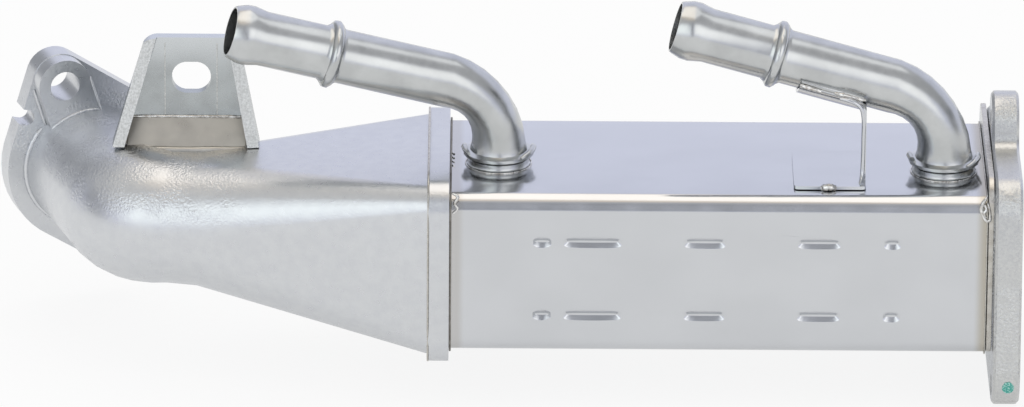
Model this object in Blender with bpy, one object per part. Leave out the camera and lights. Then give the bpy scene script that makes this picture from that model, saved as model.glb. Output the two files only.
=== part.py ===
"""EGR cooler: a rectangular coolant case with a cast inlet cone and elbow on its left end.

Frame: X runs along the case towards the outlet flange, Y away from the front, Z up.
The origin is the centre of the gas outlet port, on the flange's outer face.
"""

import math

import bmesh
import bpy
from mathutils import Matrix, Vector
from mathutils.geometry import convex_hull_2d

# Gap that touching pieces keep
GAP = 0.0003

# Coolant case, a rolled sheet box
CASE_WIDTH = 0.069
CASE_HEIGHT = 0.049
CASE_CORNER = 0.005
CASE_WALL = 0.0012
CASE_LENGTH = 0.1613

# Pressed dimples on the front and back of the case: centre from the case's left end, and length
DIMPLE_ROWS = (0.0105, -0.0123)
DIMPLES = (
    (0.0310, 0.0040),
    (0.0458, 0.0175),
    (0.0787, 0.0125),
    (0.1122, 0.0130),
    (0.1336, 0.0052),
)
DIMPLE_HEIGHT = 0.0036
DIMPLE_DEPTH = 0.0013
DIMPLE_SLOPE = 0.0011

# Outlet flange, a casting with three bolt ears; margins are measured from the case
FLANGE_THICKNESS = 0.008
FLANGE_TOP_MARGIN = 0.004
FLANGE_BOTTOM_MARGIN = 0.010
FLANGE_SHOULDER_MARGIN = 0.0055
FLANGE_FOOT_MARGIN = 0.016
FLANGE_SHOULDER_RADIUS = 0.010
FLANGE_FOOT_RADIUS = 0.014
EAR_MARGIN = 0.0185
EAR_WIDTH = 0.020
EAR_SHIFT = 0.0066
EAR_NECK_RADIUS = 0.004
EAR_BOLT_INSET = 0.0085
FOOT_BOLT_INSET = 0.013
FOOT_BOLT_RISE = 0.006
FLANGE_BOLT_HOLE = 0.0066
FLANGE_EDGE = 0.0008

# Header plates that hold the gas tubes; margins are measured from the case
OUTLET_HEADER_THICKNESS = 0.0016
OUTLET_HEADER_BACK_MARGIN = 0.005
OUTLET_HEADER_TOP_MARGIN = 0.00525
OUTLET_HEADER_CORNER = 0.007
INLET_HEADER_THICKNESS = 0.0015

# Flat gas tubes: layers across the width, columns over the height
TUBE_LAYERS = 6
TUBE_COLUMNS = 2
TUBE_THICKNESS = 0.0070
TUBE_TOP_ROOM = 0.0020
TUBE_WALL = 0.0005
TUBE_CORNER = 0.0025
TUBE_COLUMN_GAP = 0.0018

# Corrugated fin strip inside each gas tube
FIN_SHEET = 0.0003
FIN_WAVES = 5
FIN_SETBACK = 0.004

# Inlet cone and elbow, one hollow casting
COLLAR_PROUD = 0.0038
COLLAR_WIDTH = 0.0058
CASE_SEAT_DEPTH = 0.0040
CONE_PROUD = 0.0020
CONE_WALL = 0.0030
CONE_LENGTH = 0.0734
CONE_SHIFT_Y = 0.0040
CONE_SHIFT_Z = 0.0031
ELBOW_RADIUS = 0.019
ELBOW_BEND = 0.020
ELBOW_ANGLE = math.radians(71)
ELBOW_BULGE = 0.0015
ELBOW_RUN = 0.0334

# Inlet flange on the elbow's end: round, with two bolt ears and a locating notch
PORT_FLANGE_RADIUS = 0.0247
PORT_FLANGE_THICKNESS = 0.0073
PORT_EAR_RADIUS = 0.0083
PORT_EAR_THICKNESS = 0.0130
PORT_EAR_STEP = 0.0002
PORT_BOLT_OFFSET = 0.0287
PORT_BOLT_ANGLE = math.radians(107)
PORT_FAR_BOLT_ANGLE = math.radians(292)
PORT_SHOULDER_RADIUS = 0.008
PORT_SHOULDER_OFFSET = 0.0184
PORT_SHOULDER_ANGLE = math.radians(50)
PORT_BOLT_HOLE = 0.0090
NOTCH_RADIUS = 0.0024
NOTCH_OFFSET = 0.0250
NOTCH_ANGLE = math.radians(138.5)

# Slotted bracket, folded from thick sheet; its ends are measured from the elbow's start
BRACKET_SHEET = 0.0035
BRACKET_TOP = 0.0552
BRACKET_BASE = 0.0235
BRACKET_TOP_BEFORE_ELBOW = 0.0113
BRACKET_TOP_AFTER_ELBOW = 0.0166
BRACKET_BASE_BEFORE_ELBOW = 0.0207
BRACKET_BASE_AFTER_ELBOW = 0.0227
BRACKET_BACK = 0.0200
BRACKET_SIDE_DEPTH_TOP = 0.0045
BRACKET_SIDE_DEPTH_BASE = 0.0120
BRACKET_FOLD_RADIUS = 0.0040
BRACKET_CORNER = 0.0060
BRACKET_FOOT_TOP = 0.0298
BRACKET_FOOT_REACH = 0.0070
BRACKET_FOOT_DROP = 0.0085
SLOT_LENGTH = 0.0116
SLOT_HEIGHT = 0.0098
SLOT_AFTER_ELBOW = 0.0025
SLOT_Z = 0.0426

# Coolant pipes: the same bent tube twice, the left one swung towards the front
PIPE_RADIUS = 0.008
PIPE_WALL = 0.001
PIPE_BEND = 0.0207
PIPE_TILT = math.radians(15.7)
PIPE_FLATTENING = 0.11
PIPE_STRAIGHT = 0.036
PIPE_NOZZLE = 0.0308
PIPE_END_INSET = 0.0012
BARB_RADIUS = 0.0087
MOUTH_RADIUS = 0.0078
RING_RADIUS = 0.0100
RING_WIDTH = 0.0042
BASE_RING_RADIUS = 0.0104
BASE_RING_WIDTH = 0.0026
BASE_RING_HEIGHT = 0.0037
BEND_HEIGHT = 0.0066
INLET_PIPE_FROM_CASE_END = 0.0181
INLET_PIPE_Y = -0.0056
INLET_PIPE_SWING = math.radians(8)
OUTLET_PIPE_FROM_CASE_END = 0.0122
OUTLET_PIPE_Y = -0.0101
OUTLET_PIPE_SWING = 0.0

# Sockets that the pipes are brazed into
SOCKET_RADIUS = 0.0089
SOCKET_FLARE = 0.0005

# Strap that holds the outlet pipe up
STRAP_SHEET = 0.0010
STRAP_PAD_LENGTH = 0.0211
STRAP_PAD_WIDTH = 0.0302
STRAP_PAD_FRONT = -0.0272
STRAP_FROM_PIPE = 0.0243
STRAP_FRONT = -0.0212
STRAP_WIDTH = 0.0158
SADDLE_LENGTH = 0.0213
SADDLE_ARC = math.radians(140)

# How far a cutter passes the piece it cuts
CUT_PAST = 0.010

# How finely round shapes are divided
SECTION_POINTS = 32
PIPE_POINTS = 20
CORNER_STEPS = 5

# Places worked out from the sizes above
HEADER_X = -(FLANGE_THICKNESS + GAP)
CASE_RIGHT = HEADER_X - OUTLET_HEADER_THICKNESS - GAP
CASE_LEFT = CASE_RIGHT - CASE_LENGTH
CASE_TOP = CASE_HEIGHT / 2
FLANGE_TOP_WIDTH = CASE_WIDTH + 2 * FLANGE_TOP_MARGIN
FLANGE_BOTTOM_WIDTH = CASE_WIDTH + 2 * FLANGE_BOTTOM_MARGIN
FLANGE_SHOULDER = CASE_TOP + FLANGE_SHOULDER_MARGIN
FLANGE_FOOT = CASE_TOP + FLANGE_FOOT_MARGIN
EAR_TOP = CASE_TOP + EAR_MARGIN
EAR_BOLT_HEIGHT = EAR_TOP - EAR_BOLT_INSET
FOOT_BOLT_DEPTH = FLANGE_FOOT - FOOT_BOLT_RISE
FOOT_BOLT_SIDE = FLANGE_BOTTOM_WIDTH / 2 - FOOT_BOLT_INSET
TUBE_STACK = CASE_HEIGHT - 2 * (CASE_WALL + TUBE_TOP_ROOM)
TUBE_HEIGHT = (TUBE_STACK - (TUBE_COLUMNS - 1) * TUBE_COLUMN_GAP) / TUBE_COLUMNS
COLLAR_RIGHT = CASE_LEFT - GAP + CASE_SEAT_DEPTH
COLLAR_LEFT = COLLAR_RIGHT - COLLAR_WIDTH
CONE_ROOT = COLLAR_LEFT + 0.0005
ELBOW_START = COLLAR_LEFT - CONE_LENGTH
BRACKET_TOP_LEFT = ELBOW_START - BRACKET_TOP_BEFORE_ELBOW
BRACKET_TOP_RIGHT = ELBOW_START + BRACKET_TOP_AFTER_ELBOW
BRACKET_BASE_LEFT = ELBOW_START - BRACKET_BASE_BEFORE_ELBOW
BRACKET_BASE_RIGHT = ELBOW_START + BRACKET_BASE_AFTER_ELBOW
SLOT_X = ELBOW_START + SLOT_AFTER_ELBOW
INLET_PIPE_X = CASE_LEFT + INLET_PIPE_FROM_CASE_END
OUTLET_PIPE_X = CASE_RIGHT - OUTLET_PIPE_FROM_CASE_END
STRAP_X = OUTLET_PIPE_X - STRAP_FROM_PIPE


def clear_scene():
    """Remove whatever the open file holds."""
    for thing in list(bpy.data.objects):
        bpy.data.objects.remove(thing, do_unlink=True)


def finish(name, colour, roughness, metallic):
    """Give back a Principled material."""
    material = bpy.data.materials.new(name)
    material.use_nodes = True
    shader = material.node_tree.nodes["Principled BSDF"]
    shader.inputs["Base Color"].default_value = (*colour, 1.0)
    shader.inputs["Roughness"].default_value = roughness
    shader.inputs["Metallic"].default_value = metallic
    return material


def add_object(name, mesh_data, material=None):
    """Put a bmesh in the scene as an object with outward faces."""
    bmesh.ops.recalc_face_normals(mesh_data, faces=mesh_data.faces[:])
    mesh = bpy.data.meshes.new(name)
    mesh_data.to_mesh(mesh)
    mesh_data.free()
    thing = bpy.data.objects.new(name, mesh)
    bpy.context.scene.collection.objects.link(thing)
    if material:
        mesh.materials.append(material)
    return thing


def smooth(thing, angle=32):
    """Shade the round faces smooth and keep the edges sharp."""
    thing.data.shade_smooth()
    thing.data.set_sharp_from_angle(angle=math.radians(angle))


def add_rings(mesh_data, rings, closed=False):
    """Skin a list of rings; the ends are capped, or the last ring joins the first."""
    loops = [[mesh_data.verts.new(point) for point in ring] for ring in rings]
    count = len(loops[0])
    pairs = list(zip(loops, loops[1:]))
    if closed:
        pairs.append((loops[-1], loops[0]))
    for one, two in pairs:
        for i in range(count):
            j = (i + 1) % count
            mesh_data.faces.new((one[i], one[j], two[j], two[i]))
    if not closed:
        mesh_data.faces.new(loops[0])
        mesh_data.faces.new(list(reversed(loops[-1])))


def loft(name, rings, material=None, closed=False):
    """One solid skinned over its rings."""
    mesh_data = bmesh.new()
    add_rings(mesh_data, rings, closed)
    return add_object(name, mesh_data, material)


def tube(name, outer, inner, material=None):
    """A hollow solid: up the outer rings and back down the inner ones."""
    return loft(name, outer + list(reversed(inner)), material, closed=True)


def many(name, solids, material=None):
    """Several separate solids in one object, each given by its rings."""
    mesh_data = bmesh.new()
    for rings in solids:
        add_rings(mesh_data, rings)
    return add_object(name, mesh_data, material)


def prism(name, outline, place, low, high, material=None):
    """Extrude a flat outline; place turns (u, v, w) into a point."""
    rings = [[place(u, v, w) for u, v in outline] for w in (low, high)]
    return loft(name, rings, material)


def combine(thing, other, operation):
    """Add a live Boolean and hide the other shape as a guide."""
    modifier = thing.modifiers.new(operation.lower() + "_" + other.name, "BOOLEAN")
    modifier.operation = operation
    modifier.object = other
    other.hide_render = True
    other.display_type = "WIRE"


def cut(thing, *cutters):
    """Cut each cutter out of a solid."""
    for cutter in cutters:
        combine(thing, cutter, "DIFFERENCE")


def weld_on(thing, *parts):
    """Join each part to a solid as one casting or sheet."""
    for part in parts:
        combine(thing, part, "UNION")


def yz(x_shift=0.0):
    """Place an outline across the case: u is Y, v is Z, w is X."""
    return lambda u, v, w: Vector((w + x_shift, u, v))


def xz(u, v, w):
    """Place an outline seen from the front: u is X, v is Z, w is Y."""
    return Vector((u, w, v))


def xy(u, v, w):
    """Place an outline seen from above."""
    return Vector((u, v, w))


def section(half_width, half_height, corner, count=SECTION_POINTS):
    """Ring of a rounded rectangle; equal sizes give a circle. No point falls on an axis."""
    steps = count // 4
    points = []
    for quarter, (side_u, side_v) in enumerate(((1, 1), (-1, 1), (-1, -1), (1, -1))):
        centre_u = side_u * (half_width - corner)
        centre_v = side_v * (half_height - corner)
        for i in range(steps):
            angle = math.pi / 2 * (quarter + (i + 0.5) / steps)
            points.append((centre_u + corner * math.cos(angle), centre_v + corner * math.sin(angle)))
    return points


def rounded(corners, steps=CORNER_STEPS):
    """Outline through (u, v, radius) corners, each rounded by its radius, hollow ones too."""
    points = []
    count = len(corners)
    for i, (u, v, radius) in enumerate(corners):
        here = Vector((u, v))
        if radius <= 0:
            points.append((u, v))
            continue
        back = (Vector(corners[i - 1][:2]) - here).normalized()
        ahead = (Vector(corners[(i + 1) % count][:2]) - here).normalized()
        half = back.angle(ahead) / 2
        centre = here + (back + ahead).normalized() * radius / math.sin(half)
        start = here + back * radius / math.tan(half) - centre
        end = here + ahead * radius / math.tan(half) - centre
        sweep = math.atan2(start.cross(end), start.dot(end))
        for step in range(steps + 1):
            turned = Matrix.Rotation(sweep * step / steps, 2) @ start
            points.append(tuple(centre + turned))
    return points


def circle(radius, centre=(0.0, 0.0), count=24):
    """Points round a circle."""
    turn = 2 * math.pi / count
    return [
        (centre[0] + radius * math.cos(i * turn), centre[1] + radius * math.sin(i * turn))
        for i in range(count)
    ]


def hull(*outlines):
    """The tight outline round several outlines."""
    points = [point for outline in outlines for point in outline]
    return [points[i] for i in convex_hull_2d(points)]


def polar(radius, angle):
    """A point at a radius and an angle."""
    return (radius * math.cos(angle), radius * math.sin(angle))


def flange_corners():
    """Corners of the outlet flange: a shouldered body, an ear on top and two wide feet."""
    top = FLANGE_TOP_WIDTH / 2
    foot = FLANGE_BOTTOM_WIDTH / 2
    ear_left = EAR_SHIFT - EAR_WIDTH / 2
    ear_right = EAR_SHIFT + EAR_WIDTH / 2
    ear_radius = EAR_WIDTH * 0.48
    return [
        (-foot, -FLANGE_FOOT, FLANGE_FOOT_RADIUS),
        (foot, -FLANGE_FOOT, FLANGE_FOOT_RADIUS),
        (top, FLANGE_SHOULDER, FLANGE_SHOULDER_RADIUS),
        (ear_right, FLANGE_SHOULDER, EAR_NECK_RADIUS),
        (ear_right, EAR_TOP, ear_radius),
        (ear_left, EAR_TOP, ear_radius),
        (ear_left, FLANGE_SHOULDER, EAR_NECK_RADIUS),
        (-top, FLANGE_SHOULDER, FLANGE_SHOULDER_RADIUS),
    ]


def shrink(outline, step):
    """Move every point of an outline inwards along its own normal."""
    count = len(outline)
    result = []
    for i, (u, v) in enumerate(outline):
        before = Vector(outline[i - 1])
        after = Vector(outline[(i + 1) % count])
        along = (after - before).normalized()
        result.append((u - along.y * step, v + along.x * step))
    return result


def tube_centres():
    """Centre of each gas tube across the case, layer by layer."""
    face = CASE_WIDTH / 2 - CASE_WALL - DIMPLE_DEPTH - GAP
    pitch = (2 * face - TUBE_THICKNESS) / (TUBE_LAYERS - 1)
    rise = TUBE_HEIGHT + TUBE_COLUMN_GAP
    centres = []
    for layer in range(TUBE_LAYERS):
        for column in range(TUBE_COLUMNS):
            y = (layer - (TUBE_LAYERS - 1) / 2) * pitch
            z = (column - (TUBE_COLUMNS - 1) / 2) * rise
            centres.append((y, z))
    return centres


def tube_ring(centre, x, grow=0.0, count=16):
    """Ring of one gas tube at a station along X."""
    outline = section(
        TUBE_THICKNESS / 2 + grow, TUBE_HEIGHT / 2 + grow, TUBE_CORNER + grow, count
    )
    return [Vector((x, centre[0] + u, centre[1] + v)) for u, v in outline]


def build_flange(material):
    """Outlet flange with its gas port and three tapped bolt holes."""
    outline = rounded(flange_corners())
    inner = shrink(outline, FLANGE_EDGE)
    place = yz()
    stations = (
        (inner, -FLANGE_THICKNESS),
        (outline, -FLANGE_THICKNESS + FLANGE_EDGE),
        (outline, -FLANGE_EDGE),
        (inner, 0.0),
    )
    rings = [[place(u, v, x) for u, v in ring] for ring, x in stations]
    flange = loft("outlet_flange", rings, material)
    port = section(CASE_WIDTH / 2 - CASE_WALL, CASE_HEIGHT / 2 - CASE_WALL, CASE_CORNER, 24)
    bolts = (
        (EAR_SHIFT, EAR_BOLT_HEIGHT),
        (-FOOT_BOLT_SIDE, -FOOT_BOLT_DEPTH),
        (FOOT_BOLT_SIDE, -FOOT_BOLT_DEPTH),
    )
    low = -2 * FLANGE_THICKNESS
    high = FLANGE_THICKNESS
    holes = [
        [[place(u, v, w) for u, v in circle(FLANGE_BOLT_HOLE / 2, bolt, 16)] for w in (low, high)]
        for bolt in bolts
    ]
    holes.append([[place(u, v, w) for u, v in port] for w in (low, high)])
    cut(flange, many("flange_holes", holes))
    return flange


def build_headers(material):
    """Both tube plates, slotted for the gas tubes."""
    left = CASE_LEFT + GAP
    inlet_outline = section(
        CASE_WIDTH / 2 - CASE_WALL - GAP,
        CASE_HEIGHT / 2 - CASE_WALL - GAP,
        CASE_CORNER - CASE_WALL - GAP,
    )
    back = CASE_WIDTH / 2 + OUTLET_HEADER_BACK_MARGIN
    top = CASE_TOP + OUTLET_HEADER_TOP_MARGIN
    outlet_outline = rounded(
        [
            (-CASE_WIDTH / 2, -CASE_TOP, CASE_CORNER),
            (back, -CASE_TOP, CASE_CORNER),
            (back, top, OUTLET_HEADER_CORNER),
            (-CASE_WIDTH / 2, top, OUTLET_HEADER_CORNER),
        ]
    )
    plates = (
        ("inlet_header_plate", inlet_outline, left, left + INLET_HEADER_THICKNESS),
        ("outlet_header_plate", outlet_outline, HEADER_X - OUTLET_HEADER_THICKNESS, HEADER_X),
    )
    for name, outline, low, high in plates:
        plate = prism(name, outline, yz(), low, high, material)
        slots = [
            [tube_ring(centre, low - 0.002, GAP), tube_ring(centre, high + 0.002, GAP)]
            for centre in tube_centres()
        ]
        cut(plate, many(name + "_slots", slots))


def ribbon(points, thickness):
    """Outline of a thin strip that follows a bent line of points."""
    sides = ([], [])
    for i, point in enumerate(points):
        here = Vector(point)
        normals = []
        for start, end in ((i - 1, i), (i, i + 1)):
            if start >= 0 and end < len(points):
                along = (Vector(points[end]) - Vector(points[start])).normalized()
                normals.append(Vector((-along.y, along.x)))
        mitre = sum(normals, Vector((0, 0))).normalized()
        reach = thickness / 2 / mitre.dot(normals[0])
        sides[0].append(tuple(here + mitre * reach))
        sides[1].append(tuple(here - mitre * reach))
    return sides[0] + list(reversed(sides[1]))


def fin_line():
    """Middle line of the corrugated fin, up the height of its tube."""
    swing = TUBE_THICKNESS / 2 - TUBE_WALL - GAP - FIN_SHEET / 2
    span = TUBE_HEIGHT - 2 * TUBE_WALL - 2 * TUBE_CORNER + 0.003
    pitch = span / FIN_WAVES
    lean = pitch * 0.06
    points = []
    for wave in range(FIN_WAVES):
        base = -span / 2 + wave * pitch
        points.append((-swing, base + lean))
        points.append((-swing, base + pitch / 2 - lean))
        points.append((swing, base + pitch / 2 + lean))
        points.append((swing, base + pitch - lean))
    return points


def build_core(tube_material, fin_material):
    """The gas tubes between the header plates, with a corrugated fin in each."""
    left = CASE_LEFT + GAP
    right = HEADER_X - GAP
    fin_outline = ribbon(fin_line(), FIN_SHEET)
    for number, centre in enumerate(tube_centres()):
        layer = number // TUBE_COLUMNS + 1
        column = "lower" if number % TUBE_COLUMNS == 0 else "upper"
        outer = [tube_ring(centre, left), tube_ring(centre, right)]
        inner = [tube_ring(centre, left, -TUBE_WALL), tube_ring(centre, right, -TUBE_WALL)]
        tube(f"gas_tube_{layer}_{column}", outer, inner, tube_material)
        moved = [(centre[0] + u, centre[1] + v) for u, v in fin_outline]
        prism(
            f"gas_fin_{layer}_{column}",
            moved,
            yz(),
            left + FIN_SETBACK,
            right - FIN_SETBACK,
            fin_material,
        )


def dimple_rings(x, z, length, side, face, grow, depth):
    """Rings of one pressed dimple: the opening, its slope and its floor."""
    half_length = length / 2 + grow
    half_height = DIMPLE_HEIGHT / 2 + grow
    floor_length = half_length - DIMPLE_SLOPE
    floor_height = half_height - DIMPLE_SLOPE
    stations = (
        (half_length, half_height, face + 0.0004),
        (half_length, half_height, face),
        (floor_length, floor_height, face - depth),
    )
    rings = []
    for reach, rise, y in stations:
        outline = section(reach, rise, rise * 0.85, 12)
        rings.append([Vector((x + u, side * y, z + v)) for u, v in outline])
    return rings


def build_case(material):
    """Sheet case with dimples pressed in on both faces and two holes for the sockets."""
    half_width = CASE_WIDTH / 2
    outer = section(half_width, CASE_HEIGHT / 2, CASE_CORNER)
    inner = section(half_width - CASE_WALL, CASE_HEIGHT / 2 - CASE_WALL, CASE_CORNER - CASE_WALL)
    case = prism("cooler_case", outer, yz(), CASE_LEFT, CASE_RIGHT, material)
    cavity = prism("case_cavity", inner, yz(), CASE_LEFT - 0.002, CASE_RIGHT + 0.002)
    recesses = []
    bosses = []
    for side in (-1, 1):
        for offset, length in DIMPLES:
            x = CASE_LEFT + offset
            for z in DIMPLE_ROWS:
                recesses.append(dimple_rings(x, z, length, side, half_width, 0.0, DIMPLE_DEPTH))
                bosses.append(
                    dimple_rings(
                        x, z, length, side, half_width - CASE_WALL, CASE_WALL / 2, DIMPLE_DEPTH
                    )
                )
    cut(cavity, many("dimple_bosses", bosses))
    cut(case, many("dimple_recesses", recesses), cavity)
    holes = []
    for x, y in ((INLET_PIPE_X, INLET_PIPE_Y), (OUTLET_PIPE_X, OUTLET_PIPE_Y)):
        ring = circle(PIPE_RADIUS + GAP, (x, y), PIPE_POINTS)
        holes.append([[xy(u, v, w) for u, v in ring] for w in (CASE_TOP - 0.004, CASE_TOP + 0.002)])
    cut(case, many("pipe_holes", holes))
    return case


def elbow_frame(distance):
    """Centre and turn of the elbow's axis, so far along it from the end of the cone."""
    arc = ELBOW_BEND * ELBOW_ANGLE
    turn = min(max(distance, 0.0), arc) / ELBOW_BEND
    run = max(distance - arc, 0.0)
    x = ELBOW_START - ELBOW_BEND * math.sin(turn) - run * math.cos(turn)
    y = CONE_SHIFT_Y + ELBOW_BEND * (1 - math.cos(turn)) + run * math.sin(turn)
    return Vector((x, y, CONE_SHIFT_Z)), turn


def elbow_ring(distance, radius, count=SECTION_POINTS):
    """Round ring square to the elbow's axis."""
    centre, turn = elbow_frame(distance)
    across = Vector((math.sin(turn), math.cos(turn), 0.0))
    up = Vector((0.0, 0.0, 1.0))
    return [centre + across * u + up * v for u, v in section(radius, radius, radius, count)]


def casting_rings(grow, start, port_end):
    """Rings of the cone and elbow, grown outwards or shrunk to the gas passage."""
    proud = CONE_PROUD + grow
    half_width = CASE_WIDTH / 2 + proud
    half_height = CASE_HEIGHT / 2 + proud
    corner = CASE_CORNER + proud
    rings = []
    for x in (start, CONE_ROOT):
        rings.append([Vector((x, u, v)) for u, v in section(half_width, half_height, corner)])
    end = elbow_ring(0.0, ELBOW_RADIUS + grow)
    rings.append([one.lerp(two, 0.94) for one, two in zip(rings[-1], end)])
    arc = ELBOW_BEND * ELBOW_ANGLE
    steps = 7
    for step in range(1, steps + 1):
        bulge = ELBOW_BULGE * math.sin(math.pi * step / steps)
        rings.append(elbow_ring(arc * step / steps, ELBOW_RADIUS + grow + bulge))
    rings.append(elbow_ring(arc + port_end, ELBOW_RADIUS + grow))
    return rings


def port_place(u, v, w):
    """Place a point on the inlet flange: u across it, v up, w outwards from its inner face."""
    centre, turn = elbow_frame(ELBOW_BEND * ELBOW_ANGLE + ELBOW_RUN)
    across = Vector((math.sin(turn), math.cos(turn), 0.0))
    out = Vector((-math.cos(turn), math.sin(turn), 0.0))
    return centre + across * u + Vector((0.0, 0.0, v)) + out * w


def build_inlet_casting(material):
    """Collar, cone, elbow, flange and ears: one hollow casting."""
    start = COLLAR_LEFT + 0.002
    casting = loft("inlet_cone", casting_rings(0.0, start, ELBOW_RUN + 0.002), material)
    half_width = CASE_WIDTH / 2
    half_height = CASE_HEIGHT / 2
    collar = section(
        half_width + COLLAR_PROUD, half_height + COLLAR_PROUD, CASE_CORNER + COLLAR_PROUD
    )
    weld_on(casting, prism("collar", collar, yz(), COLLAR_LEFT, COLLAR_RIGHT))
    bolt = polar(PORT_BOLT_OFFSET, PORT_BOLT_ANGLE)
    far_bolt = polar(PORT_BOLT_OFFSET, PORT_FAR_BOLT_ANGLE)
    ears = [circle(PORT_EAR_RADIUS, centre, 32) for centre in (bolt, far_bolt)]
    shoulder = circle(PORT_SHOULDER_RADIUS, polar(PORT_SHOULDER_OFFSET, PORT_SHOULDER_ANGLE), 32)
    plate = hull(circle(PORT_FLANGE_RADIUS, count=48), shoulder, *ears)
    pads = []
    for name, (u, v) in (("ear_pad", bolt), ("far_ear_pad", far_bolt)):
        radius = PORT_EAR_RADIUS - PORT_EAR_STEP
        tongue = hull(circle(radius, (u, v), 32), circle(radius, (u * 0.4, v * 0.4), 32))
        low = PORT_FLANGE_THICKNESS - PORT_EAR_THICKNESS
        pads.append(prism(name, tongue, port_place, low, PORT_FLANGE_THICKNESS / 2))
    weld_on(casting, prism("port_plate", plate, port_place, 0.0, PORT_FLANGE_THICKNESS), *pads)
    passage = casting_rings(-CONE_WALL, COLLAR_LEFT - 0.002, ELBOW_RUN + 2 * PORT_FLANGE_THICKNESS)
    mouth = [
        Vector((CASE_LEFT + 0.001, u, v))
        for u, v in section(half_width - CASE_WALL, half_height - CASE_WALL, CASE_CORNER)
    ]
    passage[0] = mouth
    seat = section(half_width + GAP, half_height + GAP, CASE_CORNER + GAP)
    holes = [
        [[port_place(u, v, w) for u, v in circle(PORT_BOLT_HOLE / 2, centre)] for w in (-0.02, 0.02)]
        for centre in (bolt, far_bolt)
    ]
    notch = circle(NOTCH_RADIUS, polar(NOTCH_OFFSET, NOTCH_ANGLE), 16)
    notch_mouth = circle(NOTCH_RADIUS, polar(NOTCH_OFFSET + 0.006, NOTCH_ANGLE + 0.09), 16)
    holes.append([[port_place(u, v, w) for u, v in hull(notch, notch_mouth)] for w in (-0.002, 0.02)])
    cut(
        casting,
        loft("gas_passage", passage),
        prism("case_seat", seat, yz(), CASE_LEFT - GAP, COLLAR_RIGHT + 0.002),
        many("port_holes", holes),
    )
    return casting


def bracket_ring(height):
    """U-shaped section of the bracket at one height."""
    share = (height - BRACKET_BASE) / (BRACKET_TOP - BRACKET_BASE)
    left = BRACKET_BASE_LEFT + (BRACKET_TOP_LEFT - BRACKET_BASE_LEFT) * share
    right = BRACKET_BASE_RIGHT + (BRACKET_TOP_RIGHT - BRACKET_BASE_RIGHT) * share
    depth = BRACKET_SIDE_DEPTH_BASE + (BRACKET_SIDE_DEPTH_TOP - BRACKET_SIDE_DEPTH_BASE) * share
    front = BRACKET_BACK - depth
    web = BRACKET_BACK - BRACKET_SHEET
    inner_fold = (BRACKET_FOLD_RADIUS - BRACKET_SHEET) * 0.9
    corners = [
        (left, front, 0),
        (left + BRACKET_SHEET, front, 0),
        (left + BRACKET_SHEET, web, inner_fold),
        (right - BRACKET_SHEET, web, inner_fold),
        (right - BRACKET_SHEET, front, 0),
        (right, front, 0),
        (right, BRACKET_BACK, BRACKET_FOLD_RADIUS),
        (left, BRACKET_BACK, BRACKET_FOLD_RADIUS),
    ]
    return [Vector((x, y, height)) for x, y in rounded(corners)]


def build_bracket(material):
    """Folded bracket: slotted web, two leaning sides and a foot seated on the elbow."""
    bracket = loft("slotted_bracket", [bracket_ring(BRACKET_BASE), bracket_ring(BRACKET_TOP)], material)
    web_front = BRACKET_BACK - BRACKET_SHEET
    inner_left = BRACKET_BASE_LEFT + BRACKET_SHEET
    inner_right = BRACKET_BASE_RIGHT - BRACKET_SHEET
    foot_front = web_front - BRACKET_FOOT_REACH
    foot_low = BRACKET_FOOT_TOP - BRACKET_FOOT_DROP
    below_foot = [
        (web_front - 0.0002, BRACKET_BASE - 0.002),
        (BRACKET_BACK + 0.002, BRACKET_BASE - 0.002),
        (BRACKET_BACK + 0.002, BRACKET_FOOT_TOP - BRACKET_SHEET),
        (web_front - 0.0002, BRACKET_FOOT_TOP - BRACKET_SHEET),
    ]
    foot = [
        (foot_front, foot_low),
        (foot_front + BRACKET_SHEET, foot_low - BRACKET_SHEET * 0.6),
        (BRACKET_BACK, BRACKET_FOOT_TOP - BRACKET_SHEET),
        (BRACKET_BACK, BRACKET_FOOT_TOP + 0.0005),
        (web_front, BRACKET_FOOT_TOP + 0.0005),
    ]
    side_place = yz()
    window_left = BRACKET_BASE_LEFT + BRACKET_FOLD_RADIUS
    window_right = BRACKET_BASE_RIGHT - BRACKET_FOLD_RADIUS
    cut(bracket, prism("below_foot", below_foot, side_place, window_left, window_right))
    weld_on(bracket, prism("foot", foot, side_place, inner_left - 0.001, inner_right + 0.001))
    slot = section(SLOT_LENGTH / 2, SLOT_HEIGHT / 2, SLOT_HEIGHT * 0.46, 24)
    slot = [(SLOT_X + u, SLOT_Z + v) for u, v in slot]
    outline = rounded(
        [
            (BRACKET_BASE_LEFT - 0.01, BRACKET_BASE - 0.02, 0),
            (BRACKET_BASE_RIGHT + 0.01, BRACKET_BASE - 0.02, 0),
            (BRACKET_BASE_RIGHT + 0.01, BRACKET_BASE, 0),
            (BRACKET_TOP_RIGHT, BRACKET_TOP - 0.0001, BRACKET_CORNER),
            (BRACKET_TOP_LEFT, BRACKET_TOP - 0.0001, BRACKET_CORNER),
            (BRACKET_BASE_LEFT - 0.01, BRACKET_BASE, 0),
        ]
    )
    keep = prism("bracket_outline", outline, xz, -CUT_PAST, BRACKET_BACK + CUT_PAST)
    combine(bracket, keep, "INTERSECT")
    cut(
        bracket,
        prism("slot", slot, xz, 0.0, BRACKET_BACK + CUT_PAST),
        loft("elbow_seat", casting_rings(GAP, COLLAR_LEFT + 0.001, ELBOW_RUN - GAP)),
    )
    return bracket


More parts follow.
